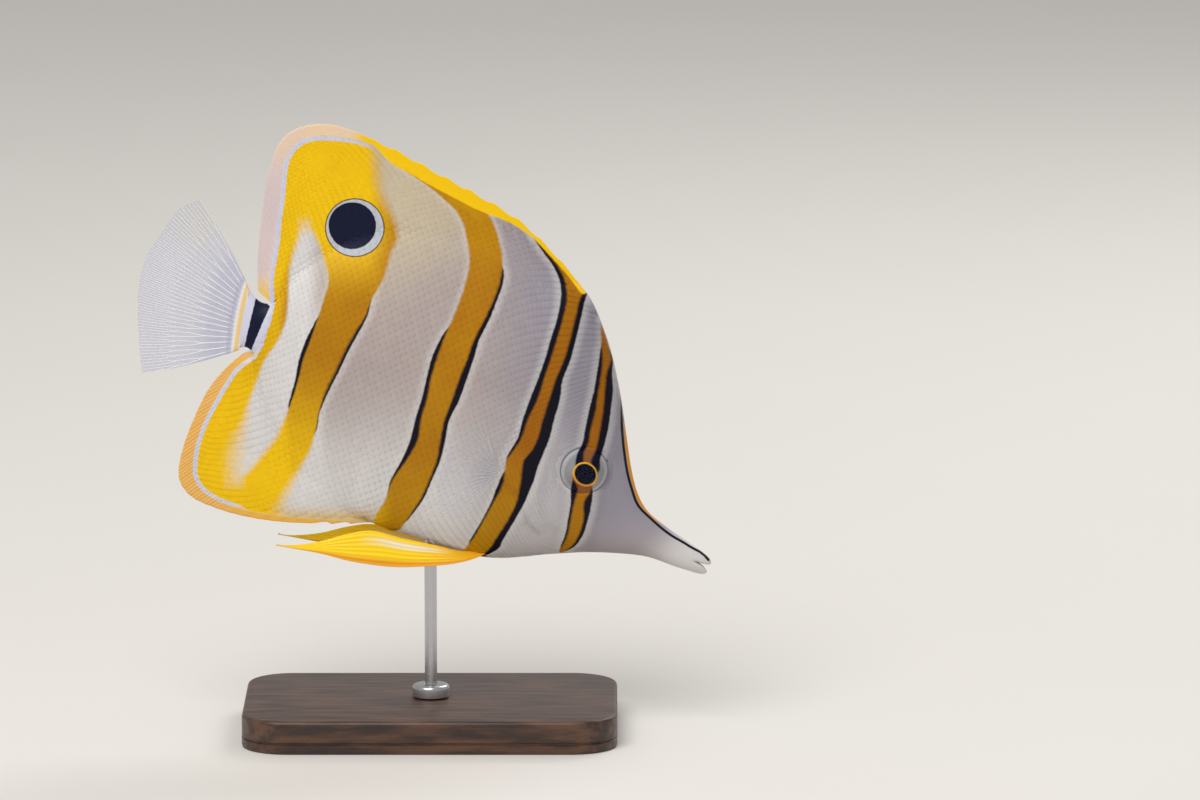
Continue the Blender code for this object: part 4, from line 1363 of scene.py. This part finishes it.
def build_pectoral_fins(settings):
    tree = ray_tree()
    for side, label in SIDES:
        surface = pectoral_surface(side)
        lines = branched_rays(PECTORAL_RAYS, surface, (0.45,), 0.985, 0.4)
        rays = grown(f"pectoral_rays_{label}", *lines, tree, {
            "Thickness": settings.ray_thickness * 0.2,
            "Sides": 6,
            "Finish": ray_finish(f"pectoral_rays_{label}", settings),
        })
        name = f"pectoral_web_{label}"
        webbing = web(name, surface, 0.04, 0.02, PECTORAL_RAYS, 18, 0.012)
        webbing.data.materials.append(web_finish(name, settings, settings.web_alpha * 0.3))
        for piece in (rays, webbing):
            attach(piece, "root")
        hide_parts(f"pectoral_fin_{label}")


def build_pelvic_fins(settings):
    """Two pointed yellow fins, each a stout spine and soft rays in a web."""
    along, across = np.linspace(0, 1, 90), np.linspace(0, 1, 49)
    keys = np.linspace(0, 1, len(PELVIC_SPINE))
    spine, upper = smooth(keys, PELVIC_SPINE, along), smooth(keys, PELVIC_UPPER, along)
    u, v = np.meshgrid(along, across, indexing="ij")
    xz = spine[:, None, :] + (upper - spine)[:, None, :] * v[..., None]
    out = PELVIC_ROOT_Y * (0.4 + 0.6 * ramp(u, 0.0, 0.2)) + PELVIC_FLARE * (1 - v) * np.sin(math.pi * u)
    out = out + (PELVIC_TIP_Y - PELVIC_ROOT_Y) * u**1.3
    width = np.linalg.norm(upper - spine, axis=-1)[:, None]
    ridges = np.cos(math.pi * v * PELVIC_RAYS) ** 2 * np.clip(width / 4, 0, 1)
    half = 0.16 + 0.1 * ridges + 0.16 * (1 - u)
    half = half + 0.25 * np.exp(-((v * width / 0.6) ** 2)) * (1 - 0.6 * u)
    half = half * rounded(np.minimum(v, 1 - v) * width + 0.02, 0.3) * rounded((1 - u) * 40, 0.5)
    half[:, (0, -1)] = 0.0
    root = np.arange(len(across))
    for side, label in SIDES:
        front, back = (
            np.stack([xz[..., 0], side * (out + face * half), xz[..., 1]], axis=-1) for face in (1, -1)
        )
        name = f"pelvic_fin_{label}_detail"
        piece = two_sheets(name, front, back, root, {"along": u, "across": v})
        piece.data.materials.append(pelvic_finish(f"pelvic_fin_{label}", settings))
        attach(piece, "root")
        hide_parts(f"pelvic_fin_{label}")


# The stand


def turned_piece(name, profile):
    """A piece turned about the upright axis, from the radius and height of its points in millimetres."""
    spokes = 64
    angles = np.linspace(0, 2 * math.pi, spokes, endpoint=False)
    points = [(r * math.cos(a), r * math.sin(a), h) for r, h in profile for a in angles]
    faces = ring_faces(len(profile), spokes)
    return new_piece(name, np.array(points) * MM, faces, merge=1e-7, smooth_degrees=35.0)


def quarter_arc(radius, top):
    """Points of a rounded top edge: the inset from the outside and the height, from below upwards."""
    return [
        (radius * (1 - math.cos(angle)), top - radius * (1 - math.sin(angle)))
        for angle in np.linspace(0, math.pi / 2, ARC_STEPS)
    ]


def build_stand(settings):
    outline = []
    for turn, (sign_x, sign_y) in enumerate(((1, 1), (-1, 1), (-1, -1), (1, -1))):
        for angle in np.radians(90 * turn + np.linspace(0, 90, 15)):
            outline.append((sign_x, sign_y, math.cos(angle), math.sin(angle)))
    outline = np.array(outline)
    rings = []
    for inset, height in base_profile():
        corner = BASE_CORNER - inset
        x = outline[:, 0] * (BASE_LENGTH / 2 - BASE_CORNER) + corner * outline[:, 2]
        y = outline[:, 1] * (BASE_WIDTH / 2 - BASE_CORNER) + corner * outline[:, 3]
        rings.append(np.stack([x, y, np.full(len(x), height)], axis=-1))
    spokes = len(outline)
    points = np.concatenate(rings)
    faces = ring_faces(len(rings), spokes)
    faces.append(tuple(range(spokes))[::-1])
    faces.append(tuple(range(len(points) - spokes, len(points))))
    base = new_piece("stand_base_finished", points * MM, faces, merge=1e-7, smooth_degrees=40.0)
    base.data.materials.append(wood_finish("stand_wood", settings))
    low = BASE_HEIGHT + STAND_GAP
    rod = turned_piece("stand_rod_finished", [
        (0.0, low),
        (ROD_RADIUS, low),
        (ROD_RADIUS, ROD_TOP - 0.3),
        (ROD_RADIUS - 0.3, ROD_TOP),
        (0.0, ROD_TOP),
    ])
    rod.data.materials.append(steel_finish("stand_rod", settings))
    hole, high = ROD_RADIUS + 0.04, low + COLLAR_HEIGHT
    collar = turned_piece("stand_collar_finished", [
        (hole, low),
        (COLLAR_RADIUS - 0.15, low),
        (COLLAR_RADIUS, low + 0.15),
        *((COLLAR_RADIUS - inset, height) for inset, height in quarter_arc(COLLAR_HEIGHT / 3, high)),
        (hole + 0.25, high),
        (hole, high - 0.25),
        (hole, low),
    ])
    collar.data.materials.append(steel_finish("stand_collar", settings))
    for piece, node, slot in (
        (base, "stand_base", "stand_wood"),
        (rod, "stand_rod", "stand_steel"),
        (collar, "stand_collar", "stand_steel"),
    ):
        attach(piece, "root")
        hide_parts(node)


def base_profile():
    """(inset, height) from the foot of the base to its top, with a softened edge and a fine groove."""
    foot = [(0.6, 0.0), (0.15, 0.15), (0.0, 0.6)]
    groove = [(0.0, 2.2), (0.35, 2.4), (0.35, 2.7), (0.0, 2.9)]
    return foot + groove + quarter_arc(BASE_EDGE, BASE_HEIGHT)


# Finishes


class Value:
    """A number on a node sheet. Sums and products of it add Math nodes."""

    def __init__(self, sheet, socket):
        self.sheet, self.socket = sheet, socket

    def maths(self, operation, *terms):
        node = self.sheet.add("ShaderNodeMath", {"operation": operation}, dict(enumerate(terms)))
        return Value(self.sheet, node.outputs[0])

    def __add__(self, other):
        return self.maths("ADD", self, other)

    def __radd__(self, other):
        return self.maths("ADD", other, self)

    def __sub__(self, other):
        return self.maths("SUBTRACT", self, other)

    def __rsub__(self, other):
        return self.maths("SUBTRACT", other, self)

    def __mul__(self, other):
        return self.maths("MULTIPLY", self, other)

    def __rmul__(self, other):
        return self.maths("MULTIPLY", other, self)

    def sine(self):
        return self.maths("SINE", self)

    def size(self):
        return self.maths("ABSOLUTE", self)

    def most(self, other):
        return self.maths("MAXIMUM", self, other)

    def least(self, other):
        return self.maths("MINIMUM", self, other)


class Sheet:
    """The nodes of one material or one geometry tree."""

    def __init__(self, tree):
        self.tree = tree

    def add(self, kind, settings=None, sockets=None):
        """A node of that kind: its settings first, then its sockets, each a value or a link."""
        node = self.tree.nodes.new(kind)
        for name, setting in (settings or {}).items():
            setattr(node, name, setting)
        for name, given in (sockets or {}).items():
            socket = node.inputs[name]
            if isinstance(given, Value):
                given = given.socket
            if isinstance(given, bpy.types.NodeSocket):
                self.tree.links.new(given, socket)
            else:
                socket.default_value = given
        return node

    def attribute(self, name):
        return Value(self, self.add("ShaderNodeAttribute", {"attribute_name": name}).outputs["Fac"])

    def read_number(self, name):
        """A stored number, in a geometry tree."""
        node = self.add("GeometryNodeInputNamedAttribute", {"data_type": "FLOAT"}, {"Name": name})
        return Value(self, node.outputs["Attribute"])

    def step(self, value, low, high):
        """0 below low, 1 above high, and a soft step between."""
        node = self.add("ShaderNodeMapRange", {"interpolation_type": "SMOOTHSTEP"}, {
            "Value": value, "From Min": low, "From Max": high,
        })
        return Value(self, node.outputs[0])

    def noise(self, scale, detail=2.0, stretch=None, roughness=0.5):
        """Soft noise on Object coordinates, which may be stretched first."""
        place = self.add("ShaderNodeTexCoord").outputs["Object"]
        if stretch:
            place = self.add("ShaderNodeMapping", None, {"Vector": place, "Scale": stretch}).outputs[0]
        node = self.add("ShaderNodeTexNoise", None, {
            "Vector": place,
            "Scale": scale,
            "Detail": detail,
            "Roughness": roughness,
        })
        return Value(self, node.outputs[0])

    def mix(self, share, first, second, blend="MIX"):
        """One colour turning into another, or multiplied by it."""
        settings = {"data_type": "RGBA", "clamp_factor": True, "blend_type": blend}
        first, second = ((*v, 1.0) if isinstance(v, tuple) else v for v in (first, second))
        return self.add("ShaderNodeMix", settings, {0: share, 6: first, 7: second}).outputs[2]

    def tinted(self, first, shade):
        """A colour multiplied by a grey value."""
        grey = self.add("ShaderNodeCombineColor", None, {0: shade, 1: shade, 2: shade}).outputs[0]
        return self.mix(1.0, first, grey, "MULTIPLY")

    def bump(self, height, distance, strength):
        sockets = {"Height": height, "Distance": distance, "Strength": strength}
        return self.add("ShaderNodeBump", None, sockets).outputs[0]

    def add_to(self, shader, sockets):
        """Links values to a shader's sockets."""
        for name, given in sockets.items():
            self.tree.links.new(given.socket if isinstance(given, Value) else given, shader.inputs[name])

    def finish_tree(self, geometry, material):
        """Ends a geometry tree with its material."""
        finished = self.add("GeometryNodeSetMaterial", None, {"Geometry": geometry, "Material": material})
        self.add("NodeGroupOutput", None, {0: finished.outputs[0]})


def new_finish(name, **constants):
    """A material with its sheet and its Principled shader, constants set on the shader's own sockets."""
    material = bpy.data.materials.new(name)
    material.use_nodes = True
    sheet = Sheet(material.node_tree)
    shader = material.node_tree.nodes["Principled BSDF"]
    for label, value in constants.items():
        shader.inputs[label.replace("_", " ")].default_value = value
    return material, sheet, shader


def rgb(setting):
    """A colour setting as plain numbers."""
    return tuple(setting)


def skin_colour(sheet, colours):
    """The fish's markings over its silver, shared by the skin and its scales."""
    wander = sheet.noise(1100.0, 2.0) - 0.5
    broad = sheet.noise(60.0, 2.0)
    silver = sheet.mix(sheet.attribute("face"), rgb(colours.silver), rgb(colours.lilac))
    silver = sheet.mix(sheet.attribute("sandy") * 0.8, silver, rgb(colours.sand))
    silver = sheet.mix(sheet.attribute("bright"), silver, rgb(colours.pale))
    silver = sheet.mix(sheet.attribute("glow") * 0.85, silver, colour(226, 190, 104))
    silver = sheet.tinted(silver, 0.93 + broad * 0.14)
    # painted shade along the gill cover's edge and the cheek line
    silver = sheet.mix(sheet.attribute("crease") * 0.3, silver, colour(120, 108, 128))
    outer = sheet.attribute("outer") + wander * 0.3
    fringe = sheet.step(outer, -2.4, -0.3) * 0.42
    silver = sheet.mix(fringe, silver, rgb(colours.pale))
    warm = sheet.attribute("warm") + (broad - 0.5) * 0.3
    band = sheet.mix(warm, rgb(colours.copper), rgb(colours.yellow))
    base = sheet.mix(sheet.step(outer, -0.22, 0.22), silver, rgb(colours.dark))
    base = sheet.mix(sheet.step(sheet.attribute("copper") + wander * 0.9, -1.0, 1.0), base, band)
    clear = sheet.mix(sheet.attribute("peach"), rgb(colours.yellow), rgb(colours.peach))
    clear = sheet.mix(sheet.attribute("veil") * 0.8, clear, rgb(colours.veil))
    clear = sheet.mix(sheet.attribute("amber"), clear, rgb(colours.amber))
    base = sheet.mix(sheet.step(sheet.attribute("margin") + wander * 0.2, -0.1, 0.25), base, clear)
    base = sheet.mix(1 - sheet.step(sheet.attribute("white"), 0.3, 0.64), base, rgb(colours.white_line))
    saddle = sheet.step(sheet.attribute("saddle") + wander * 0.3, -0.1, 0.12)
    base = sheet.mix(saddle, base, rgb(colours.navy))
    ring = sheet.attribute("spot_ring") + wander * 0.15
    # A dark brown rim outside the pale ring: partly the ring's own dark edge, partly painted shade
    base = sheet.mix(sheet.step(ring, -0.42, -0.15), base, colour(84, 52, 40))
    base = sheet.mix(sheet.step(ring, -0.12, 0.08), base, colour(192, 196, 202))
    spot = sheet.step(sheet.attribute("spot") + wander * 0.2, -0.1, 0.12)
    base = sheet.mix(spot, base, rgb(colours.navy))
    brow = sheet.attribute("brow")
    edge = sheet.mix(sheet.attribute("golden"), silver, colour(216, 146, 34))
    base = sheet.mix(sheet.step(brow, 0.3, 0.5) * (1 - sheet.step(brow, 3.0, 3.4)), base, edge)
    line = brow.size() + sheet.attribute("brow_fade")
    return sheet.mix(1 - sheet.step(line, 0.2, 0.42), base, colour(8, 6, 20)), broad


def skin_finish(name, colours, on_scales):
    """Satin skin: silver, bands, margins and eyespot. The scales wear the same, each with painted shade at
    its root, where it runs under the scale before it, and a little lighter at its free edge.
    """
    material, sheet, shader = new_finish(name, Coat_Roughness=0.3, IOR=1.4, Specular_IOR_Level=0.21)
    base, broad = skin_colour(sheet, colours)
    fine = sheet.noise(2600.0, 3.0)
    if on_scales:
        reach, aside, tone = sheet.attribute("reach"), sheet.attribute("aside"), sheet.attribute("tone")
        # Painted shade darkens each scale's root, where it runs under the scale before it; the free edge is
        # a little lighter
        rear = sheet.step(reach, 0.74, 0.98)
        root = 1 - sheet.step(reach, 0.35, 0.62)
        base = sheet.tinted(base, 0.95 + tone * 0.05 + rear * 0.04 - root * 0.1)
        growth = (reach * 60.0).sine() * 0.5 + (aside * 46.0).sine() * 0.25
        normal = sheet.bump(growth + fine, 0.00001, 0.4)
        rough = 0.38 + tone * 0.08 + fine * 0.08
    else:
        fin = sheet.attribute("fin")
        ray = sheet.attribute("ray")
        main = (ray * (2 * math.pi)).sine()
        branch = (ray * (6 * math.pi)).sine() * sheet.step(ray, 8.9, 9.3)
        lines = main * 0.4 * (1 - sheet.step(fin, 0.55, 0.8)) + branch * sheet.step(fin, 0.5, 0.8)
        on_fin = sheet.step(fin, 0.02, 0.3)
        base = sheet.tinted(base, 1 - lines * on_fin * 0.06)
        normal = sheet.bump(lines * on_fin + fine * 0.35 + broad * 0.3, 0.00006, 0.6)
        rough = 0.4 + fine * 0.14
    sheet.add_to(shader, {
        "Base Color": base,
        "Roughness": rough,
        "Normal": normal,
        "Coat Weight": broad * 0.08,
    })
    return material


def eye_finish(name, settings):
    """The eye under its cornea: pupil, gold ring and a silver iris that the eye band crosses."""
    material, sheet, shader = new_finish(name, IOR=1.36, Specular_IOR_Level=0.06)
    from_pupil = sheet.attribute("from_pupil")
    fleck = sheet.noise(2200.0, 3.0)
    spoke = (sheet.attribute("spoke") * (2 * math.pi * 29 / EYE_SPOKES)).sine()
    silver = sheet.mix(fleck, rgb(settings.iris), colour(154, 153, 158))
    silver = sheet.tinted(silver, 0.97 + spoke * 0.03)
    silver = sheet.mix(sheet.step(from_pupil, 1.9, 2.6), silver, colour(192, 192, 194))
    silver = sheet.mix(sheet.step(from_pupil, 2.85, 3.1), silver, colour(118, 116, 128))
    base = sheet.mix(sheet.step(sheet.attribute("outer"), -0.22, 0.22), silver, colour(12, 12, 40))
    base = sheet.mix(sheet.step(sheet.attribute("copper"), -1.0, 1.0), base, colour(158, 100, 50))
    below = sheet.attribute("below").most(0.0)
    gold = (from_pupil - 0.2 - below * 0.22).size() - below * 0.2
    red = sheet.step(from_pupil, 0.36, 0.6) * sheet.step(below, 0.2, 0.8)
    gold_colour = sheet.mix(red, rgb(settings.gold), colour(206, 84, 20))
    base = sheet.mix(1 - sheet.step(gold, 0.18, 0.3), base, gold_colour)
    base = sheet.mix(1 - sheet.step(from_pupil, -0.06, 0.04), base, rgb(settings.pupil))
    rough = 0.16 + sheet.step(from_pupil, 0.0, 0.3) * 0.22
    sheet.add_to(shader, {
        "Base Color": base,
        "Roughness": rough,
        "Normal": sheet.bump(fleck, 0.00002, 0.4),
    })
    return material


def cornea_finish(name):
    """A clear dome that only mirrors the light."""
    material, sheet, shader = new_finish(name)
    sheet.tree.nodes.remove(shader)
    gloss = sheet.add("ShaderNodeBsdfGlossy", None, {"Roughness": 0.05, "Color": (0.8, 0.8, 0.8, 1)})
    clear = sheet.add("ShaderNodeBsdfTransparent", None, {"Color": (1, 1, 1, 1)})
    fresnel = Value(sheet, sheet.add("ShaderNodeFresnel", None, {"IOR": 1.18}).outputs[0])
    mixed = sheet.add("ShaderNodeMixShader", None, {0: fresnel, 1: clear.outputs[0], 2: gloss.outputs[0]})
    sheet.tree.links.new(mixed.outputs[0], sheet.tree.nodes["Material Output"].inputs[0])
    return material


def ray_finish(name, settings):
    """Clear white fin rays, faintly jointed, warmer near the tail fin's upper corner."""
    material, sheet, shader = new_finish(name, Roughness=0.34, IOR=1.4)
    out, across = sheet.attribute("out"), sheet.attribute("across")
    warm = sheet.step(across, 0.72, 0.95) * sheet.step(out, 0.4, 0.8)
    base = sheet.mix(warm, rgb(settings.clear), rgb(settings.tip))
    joints = (out * 260.0).sine()
    base = sheet.tinted(base, 0.96 + joints * 0.03)
    sheet.add_to(shader, {"Base Color": base, "Normal": sheet.bump(joints, 0.00002, 0.4)})
    return material


def web_finish(name, settings, alpha):
    """A thin clear web."""
    material, sheet, shader = new_finish(name, Roughness=0.3, IOR=1.38)
    out, across = sheet.attribute("out"), sheet.attribute("across")
    veil = sheet.noise(420.0, 2.0)
    base = sheet.mix(veil, rgb(settings.web), colour(206, 208, 224))
    folds = (across * 430.0).sine()
    near = 1 - sheet.step(out, 0.05, 0.55)
    hides = (alpha * 0.75 + veil * (alpha * 0.5) + near * (alpha * 1.6)).least(1.0)
    sheet.add_to(shader, {"Base Color": base, "Alpha": hides, "Normal": sheet.bump(folds, 0.00002, 0.5)})
    return material


def tail_root_finish(name, settings):
    """White flesh at the tail fin's root, with a faint warm line across it."""
    material, sheet, shader = new_finish(name, Roughness=0.4, IOR=1.4)
    out = sheet.attribute("out")
    fine = sheet.noise(1800.0, 2.0)
    line = 1 - sheet.step((out - 0.2).size(), 0.04, 0.28)
    base = sheet.mix(line, rgb(settings.clear), colour(232, 200, 132))
    base = sheet.mix(sheet.step(out, 0.36, 0.6), base, colour(208, 208, 224))
    base = sheet.tinted(base, 0.92 + fine * 0.1)
    sheet.add_to(shader, {
        "Base Color": base,
        "Alpha": 1 - sheet.step(out, 0.4, 0.95),
        "Normal": sheet.bump(fine, 0.00004, 0.4),
    })
    return material


def pelvic_finish(name, settings):
    """Yellow pelvic fins: orange along the spine, a painted whitish highlight streak, darker seams between
    the rays, and a faint painted glow in their own colour.
    """
    # A faint glow in the fins' own colour: painted light that stands in for light through the thin fins and
    # lifts them out of the body's shadow
    material, sheet, shader = new_finish(name, Roughness=0.38, IOR=1.4, Emission_Strength=0.04)
    along, across = sheet.attribute("along"), sheet.attribute("across")
    fine = sheet.noise(900.0, 3.0)
    seams = (across * (2 * math.pi * PELVIC_RAYS)).sine()
    spine = 1 - sheet.step(across, 0.12, 0.3)
    root = 1 - sheet.step(along, 0.1, 0.4)
    base = sheet.mix((spine * 0.8).most(root * 0.6), rgb(settings.yellow), rgb(settings.orange))
    # Painted highlight: a whitish streak across the rays
    painted_highlight_streak = (1 - sheet.step((across - 0.72).size(), 0.04, 0.2)) * sheet.step(along, 0.16, 0.34)
    painted_highlight_streak = painted_highlight_streak * (1 - sheet.step(along, 0.4, 0.6))
    base = sheet.mix(painted_highlight_streak * 0.7, base, colour(236, 234, 220))
    base = sheet.tinted(base, 0.95 + seams * 0.03 + fine * 0.05)
    sheet.add_to(shader, {
        "Base Color": base,
        "Emission Color": base,
        "Normal": sheet.bump(seams + fine, 0.00005, 0.5),
    })
    return material


def wood_finish(name, settings):
    """Dark oiled wood, its grain along the base."""
    material, sheet, shader = new_finish(name, Coat_Roughness=0.3)
    rings = sheet.noise(6.0, 4.0, (10.0, 90.0, 60.0), 0.6)
    pores = sheet.noise(30.0, 2.0, (14.0, 260.0, 200.0))
    base = sheet.mix(sheet.step(rings, 0.35, 0.66), rgb(settings.wood_dark), rgb(settings.wood_light))
    base = sheet.tinted(base, 1 - sheet.step(pores, 0.58, 0.72) * 0.35)
    rough = 0.38 + pores * 0.2
    sheet.add_to(shader, {
        "Base Color": base,
        "Roughness": rough,
        "Normal": sheet.bump(pores + rings * 0.5, 0.00006, 0.35),
        "Coat Weight": 0.15 + rings * 0.1,
    })
    return material


def steel_finish(name, settings):
    """Turned steel with fine lines round it."""
    material, sheet, shader = new_finish(name, Metallic=1.0)
    lines = sheet.noise(40.0, 2.0, (6.0, 6.0, 900.0))
    base = sheet.tinted(rgb(settings.steel), 0.9 + lines * 0.12)
    sheet.add_to(shader, {
        "Base Color": base,
        "Roughness": 0.2 + lines * 0.16,
        "Normal": sheet.bump(lines, 0.00001, 0.5),
    })
    return material


# The stage


def build_stage(settings):
    """A plain pale floor, soft light from above, and the camera."""
    mesh = bpy.data.meshes.new("floor")
    corners = [(x * FLOOR_HALF, y * FLOOR_HALF, 0.0) for x, y in ((-1, -1), (1, -1), (1, 1), (-1, 1))]
    mesh.from_pydata(corners, [], [(0, 1, 2, 3)])
    floor = placed("floor", mesh)
    material, sheet, shader = new_finish("floor", Roughness=0.75)
    base = sheet.tinted(rgb(settings.floor), 0.985 + sheet.noise(9.0, 3.0) * 0.03)
    sheet.add_to(shader, {"Base Color": base})
    mesh.materials.append(material)
    world = bpy.data.worlds.new("surround")
    world.use_nodes = True
    background = world.node_tree.nodes["Background"]
    background.inputs["Color"].default_value = (1.0, 0.99, 0.98, 1.0)
    background.inputs["Strength"].default_value = settings.sky
    bpy.context.scene.world = world
    for name, place, size, power in (
        ("key_light", (-0.35, -0.75, 1.15), 0.9, settings.key_power),
        ("rim_light", (0.5, 0.7, 0.8), 0.6, settings.key_power * 0.3),
    ):
        data = bpy.data.lights.new(name, "AREA")
        data.shape = "DISK"
        data.size = size
        data.energy = power
        lamp = placed(name, data)
        lamp.location = place
        lamp.rotation_mode = "QUATERNION"
        lamp.rotation_quaternion = (Vector(LIGHT_AIM) - Vector(place)).to_track_quat("-Z", "Y")
    data = bpy.data.cameras.new("camera")
    data.sensor_width = 36.0
    data.lens = 250.0
    data.clip_start, data.clip_end = 0.1, 20.0
    camera = placed("camera", data)
    back = Vector((0.0, -math.cos(CAMERA_LIFT), math.sin(CAMERA_LIFT)))
    camera.location = Vector(CAMERA_AIM) + CAMERA_DISTANCE * back
    camera.rotation_euler = (math.radians(90) - CAMERA_LIFT, 0.0, 0.0)
    bpy.context.scene.camera = camera
    bpy.context.scene.view_settings.view_transform = "Standard"


# Operators


class BUTTERFLYFISH_OT_skin(bpy.types.Operator):
    """Build the skin with its head, markings and the fins of its back and belly"""

    bl_idname = "butterflyfish.skin"
    bl_label = "Skin"

    def execute(self, context):
        build_skin(context.scene.butterflyfish_skin)
        return {"FINISHED"}


class BUTTERFLYFISH_OT_scales(bpy.types.Operator):
    """Lay the scales over the skin, row by row"""

    bl_idname = "butterflyfish.scales"
    bl_label = "Scales"

    def execute(self, context):
        if "skin" not in bpy.data.objects:
            raise RuntimeError("build the skin before its scales")
        build_scales(context.scene.butterflyfish_scales, context.scene.butterflyfish_skin)
        return {"FINISHED"}


class BUTTERFLYFISH_OT_eyes(bpy.types.Operator):
    """Build both eyes with their clear domes"""

    bl_idname = "butterflyfish.eyes"
    bl_label = "Eyes"

    def execute(self, context):
        build_eyes(context.scene.butterflyfish_eyes)
        return {"FINISHED"}


class BUTTERFLYFISH_OT_tail_fin(bpy.types.Operator):
    """Build the tail fin's rays, web and root"""

    bl_idname = "butterflyfish.tail_fin"
    bl_label = "Tail fin"

    def execute(self, context):
        build_tail_fin(context.scene.butterflyfish_fins)
        return {"FINISHED"}


class BUTTERFLYFISH_OT_paired_fins(bpy.types.Operator):
    """Build the pectoral and pelvic fins"""

    bl_idname = "butterflyfish.paired_fins"
    bl_label = "Paired fins"

    def execute(self, context):
        build_pectoral_fins(context.scene.butterflyfish_fins)
        build_pelvic_fins(context.scene.butterflyfish_fins)
        return {"FINISHED"}


class BUTTERFLYFISH_OT_stand(bpy.types.Operator):
    """Build the base, rod and collar"""

    bl_idname = "butterflyfish.stand"
    bl_label = "Stand"

    def execute(self, context):
        build_stand(context.scene.butterflyfish_stand)
        return {"FINISHED"}


class BUTTERFLYFISH_OT_stage(bpy.types.Operator):
    """Set the floor, the lights and the camera"""

    bl_idname = "butterflyfish.stage"
    bl_label = "Stage"

    def execute(self, context):
        build_stage(context.scene.butterflyfish_stage)
        return {"FINISHED"}


OPERATORS = (
    BUTTERFLYFISH_OT_skin,
    BUTTERFLYFISH_OT_scales,
    BUTTERFLYFISH_OT_eyes,
    BUTTERFLYFISH_OT_tail_fin,
    BUTTERFLYFISH_OT_paired_fins,
    BUTTERFLYFISH_OT_stand,
    BUTTERFLYFISH_OT_stage,
)


class BUTTERFLYFISH_PT_panel(bpy.types.Panel):
    """Every piece of the model, with its sizes and colours"""

    bl_label = "Butterflyfish"
    bl_idname = "BUTTERFLYFISH_PT_panel"
    bl_space_type = "VIEW_3D"
    bl_region_type = "UI"
    bl_category = "Butterflyfish"

    def draw(self, context):
        for name in SETTINGS:
            box = self.layout.box()
            group = getattr(context.scene, name)
            for label in group.bl_rna.properties.keys():
                if label not in ("rna_type", "name"):
                    box.prop(group, label)
        for operator in OPERATORS:
            self.layout.operator(operator.bl_idname)


SETTINGS = {
    "butterflyfish_skin": SkinSettings,
    "butterflyfish_scales": ScaleSettings,
    "butterflyfish_eyes": EyeSettings,
    "butterflyfish_fins": FinSettings,
    "butterflyfish_stand": StandSettings,
    "butterflyfish_stage": StageSettings,
}


def register():
    for name, group in SETTINGS.items():
        bpy.utils.register_class(group)
        setattr(bpy.types.Scene, name, bpy.props.PointerProperty(type=group))
    for made in (*OPERATORS, BUTTERFLYFISH_PT_panel):
        bpy.utils.register_class(made)


def unregister():
    for made in reversed((*OPERATORS, BUTTERFLYFISH_PT_panel)):
        bpy.utils.unregister_class(made)
    for name, group in SETTINGS.items():
        delattr(bpy.types.Scene, name)
        bpy.utils.unregister_class(group)


def main():
    register()
    bpy.ops.butterflyfish.skin()
    bpy.ops.butterflyfish.scales()
    bpy.ops.butterflyfish.eyes()
    bpy.ops.butterflyfish.tail_fin()
    bpy.ops.butterflyfish.paired_fins()
    bpy.ops.butterflyfish.stand()
    bpy.ops.butterflyfish.stage()
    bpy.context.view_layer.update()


if __name__ == "__main__":
    main()
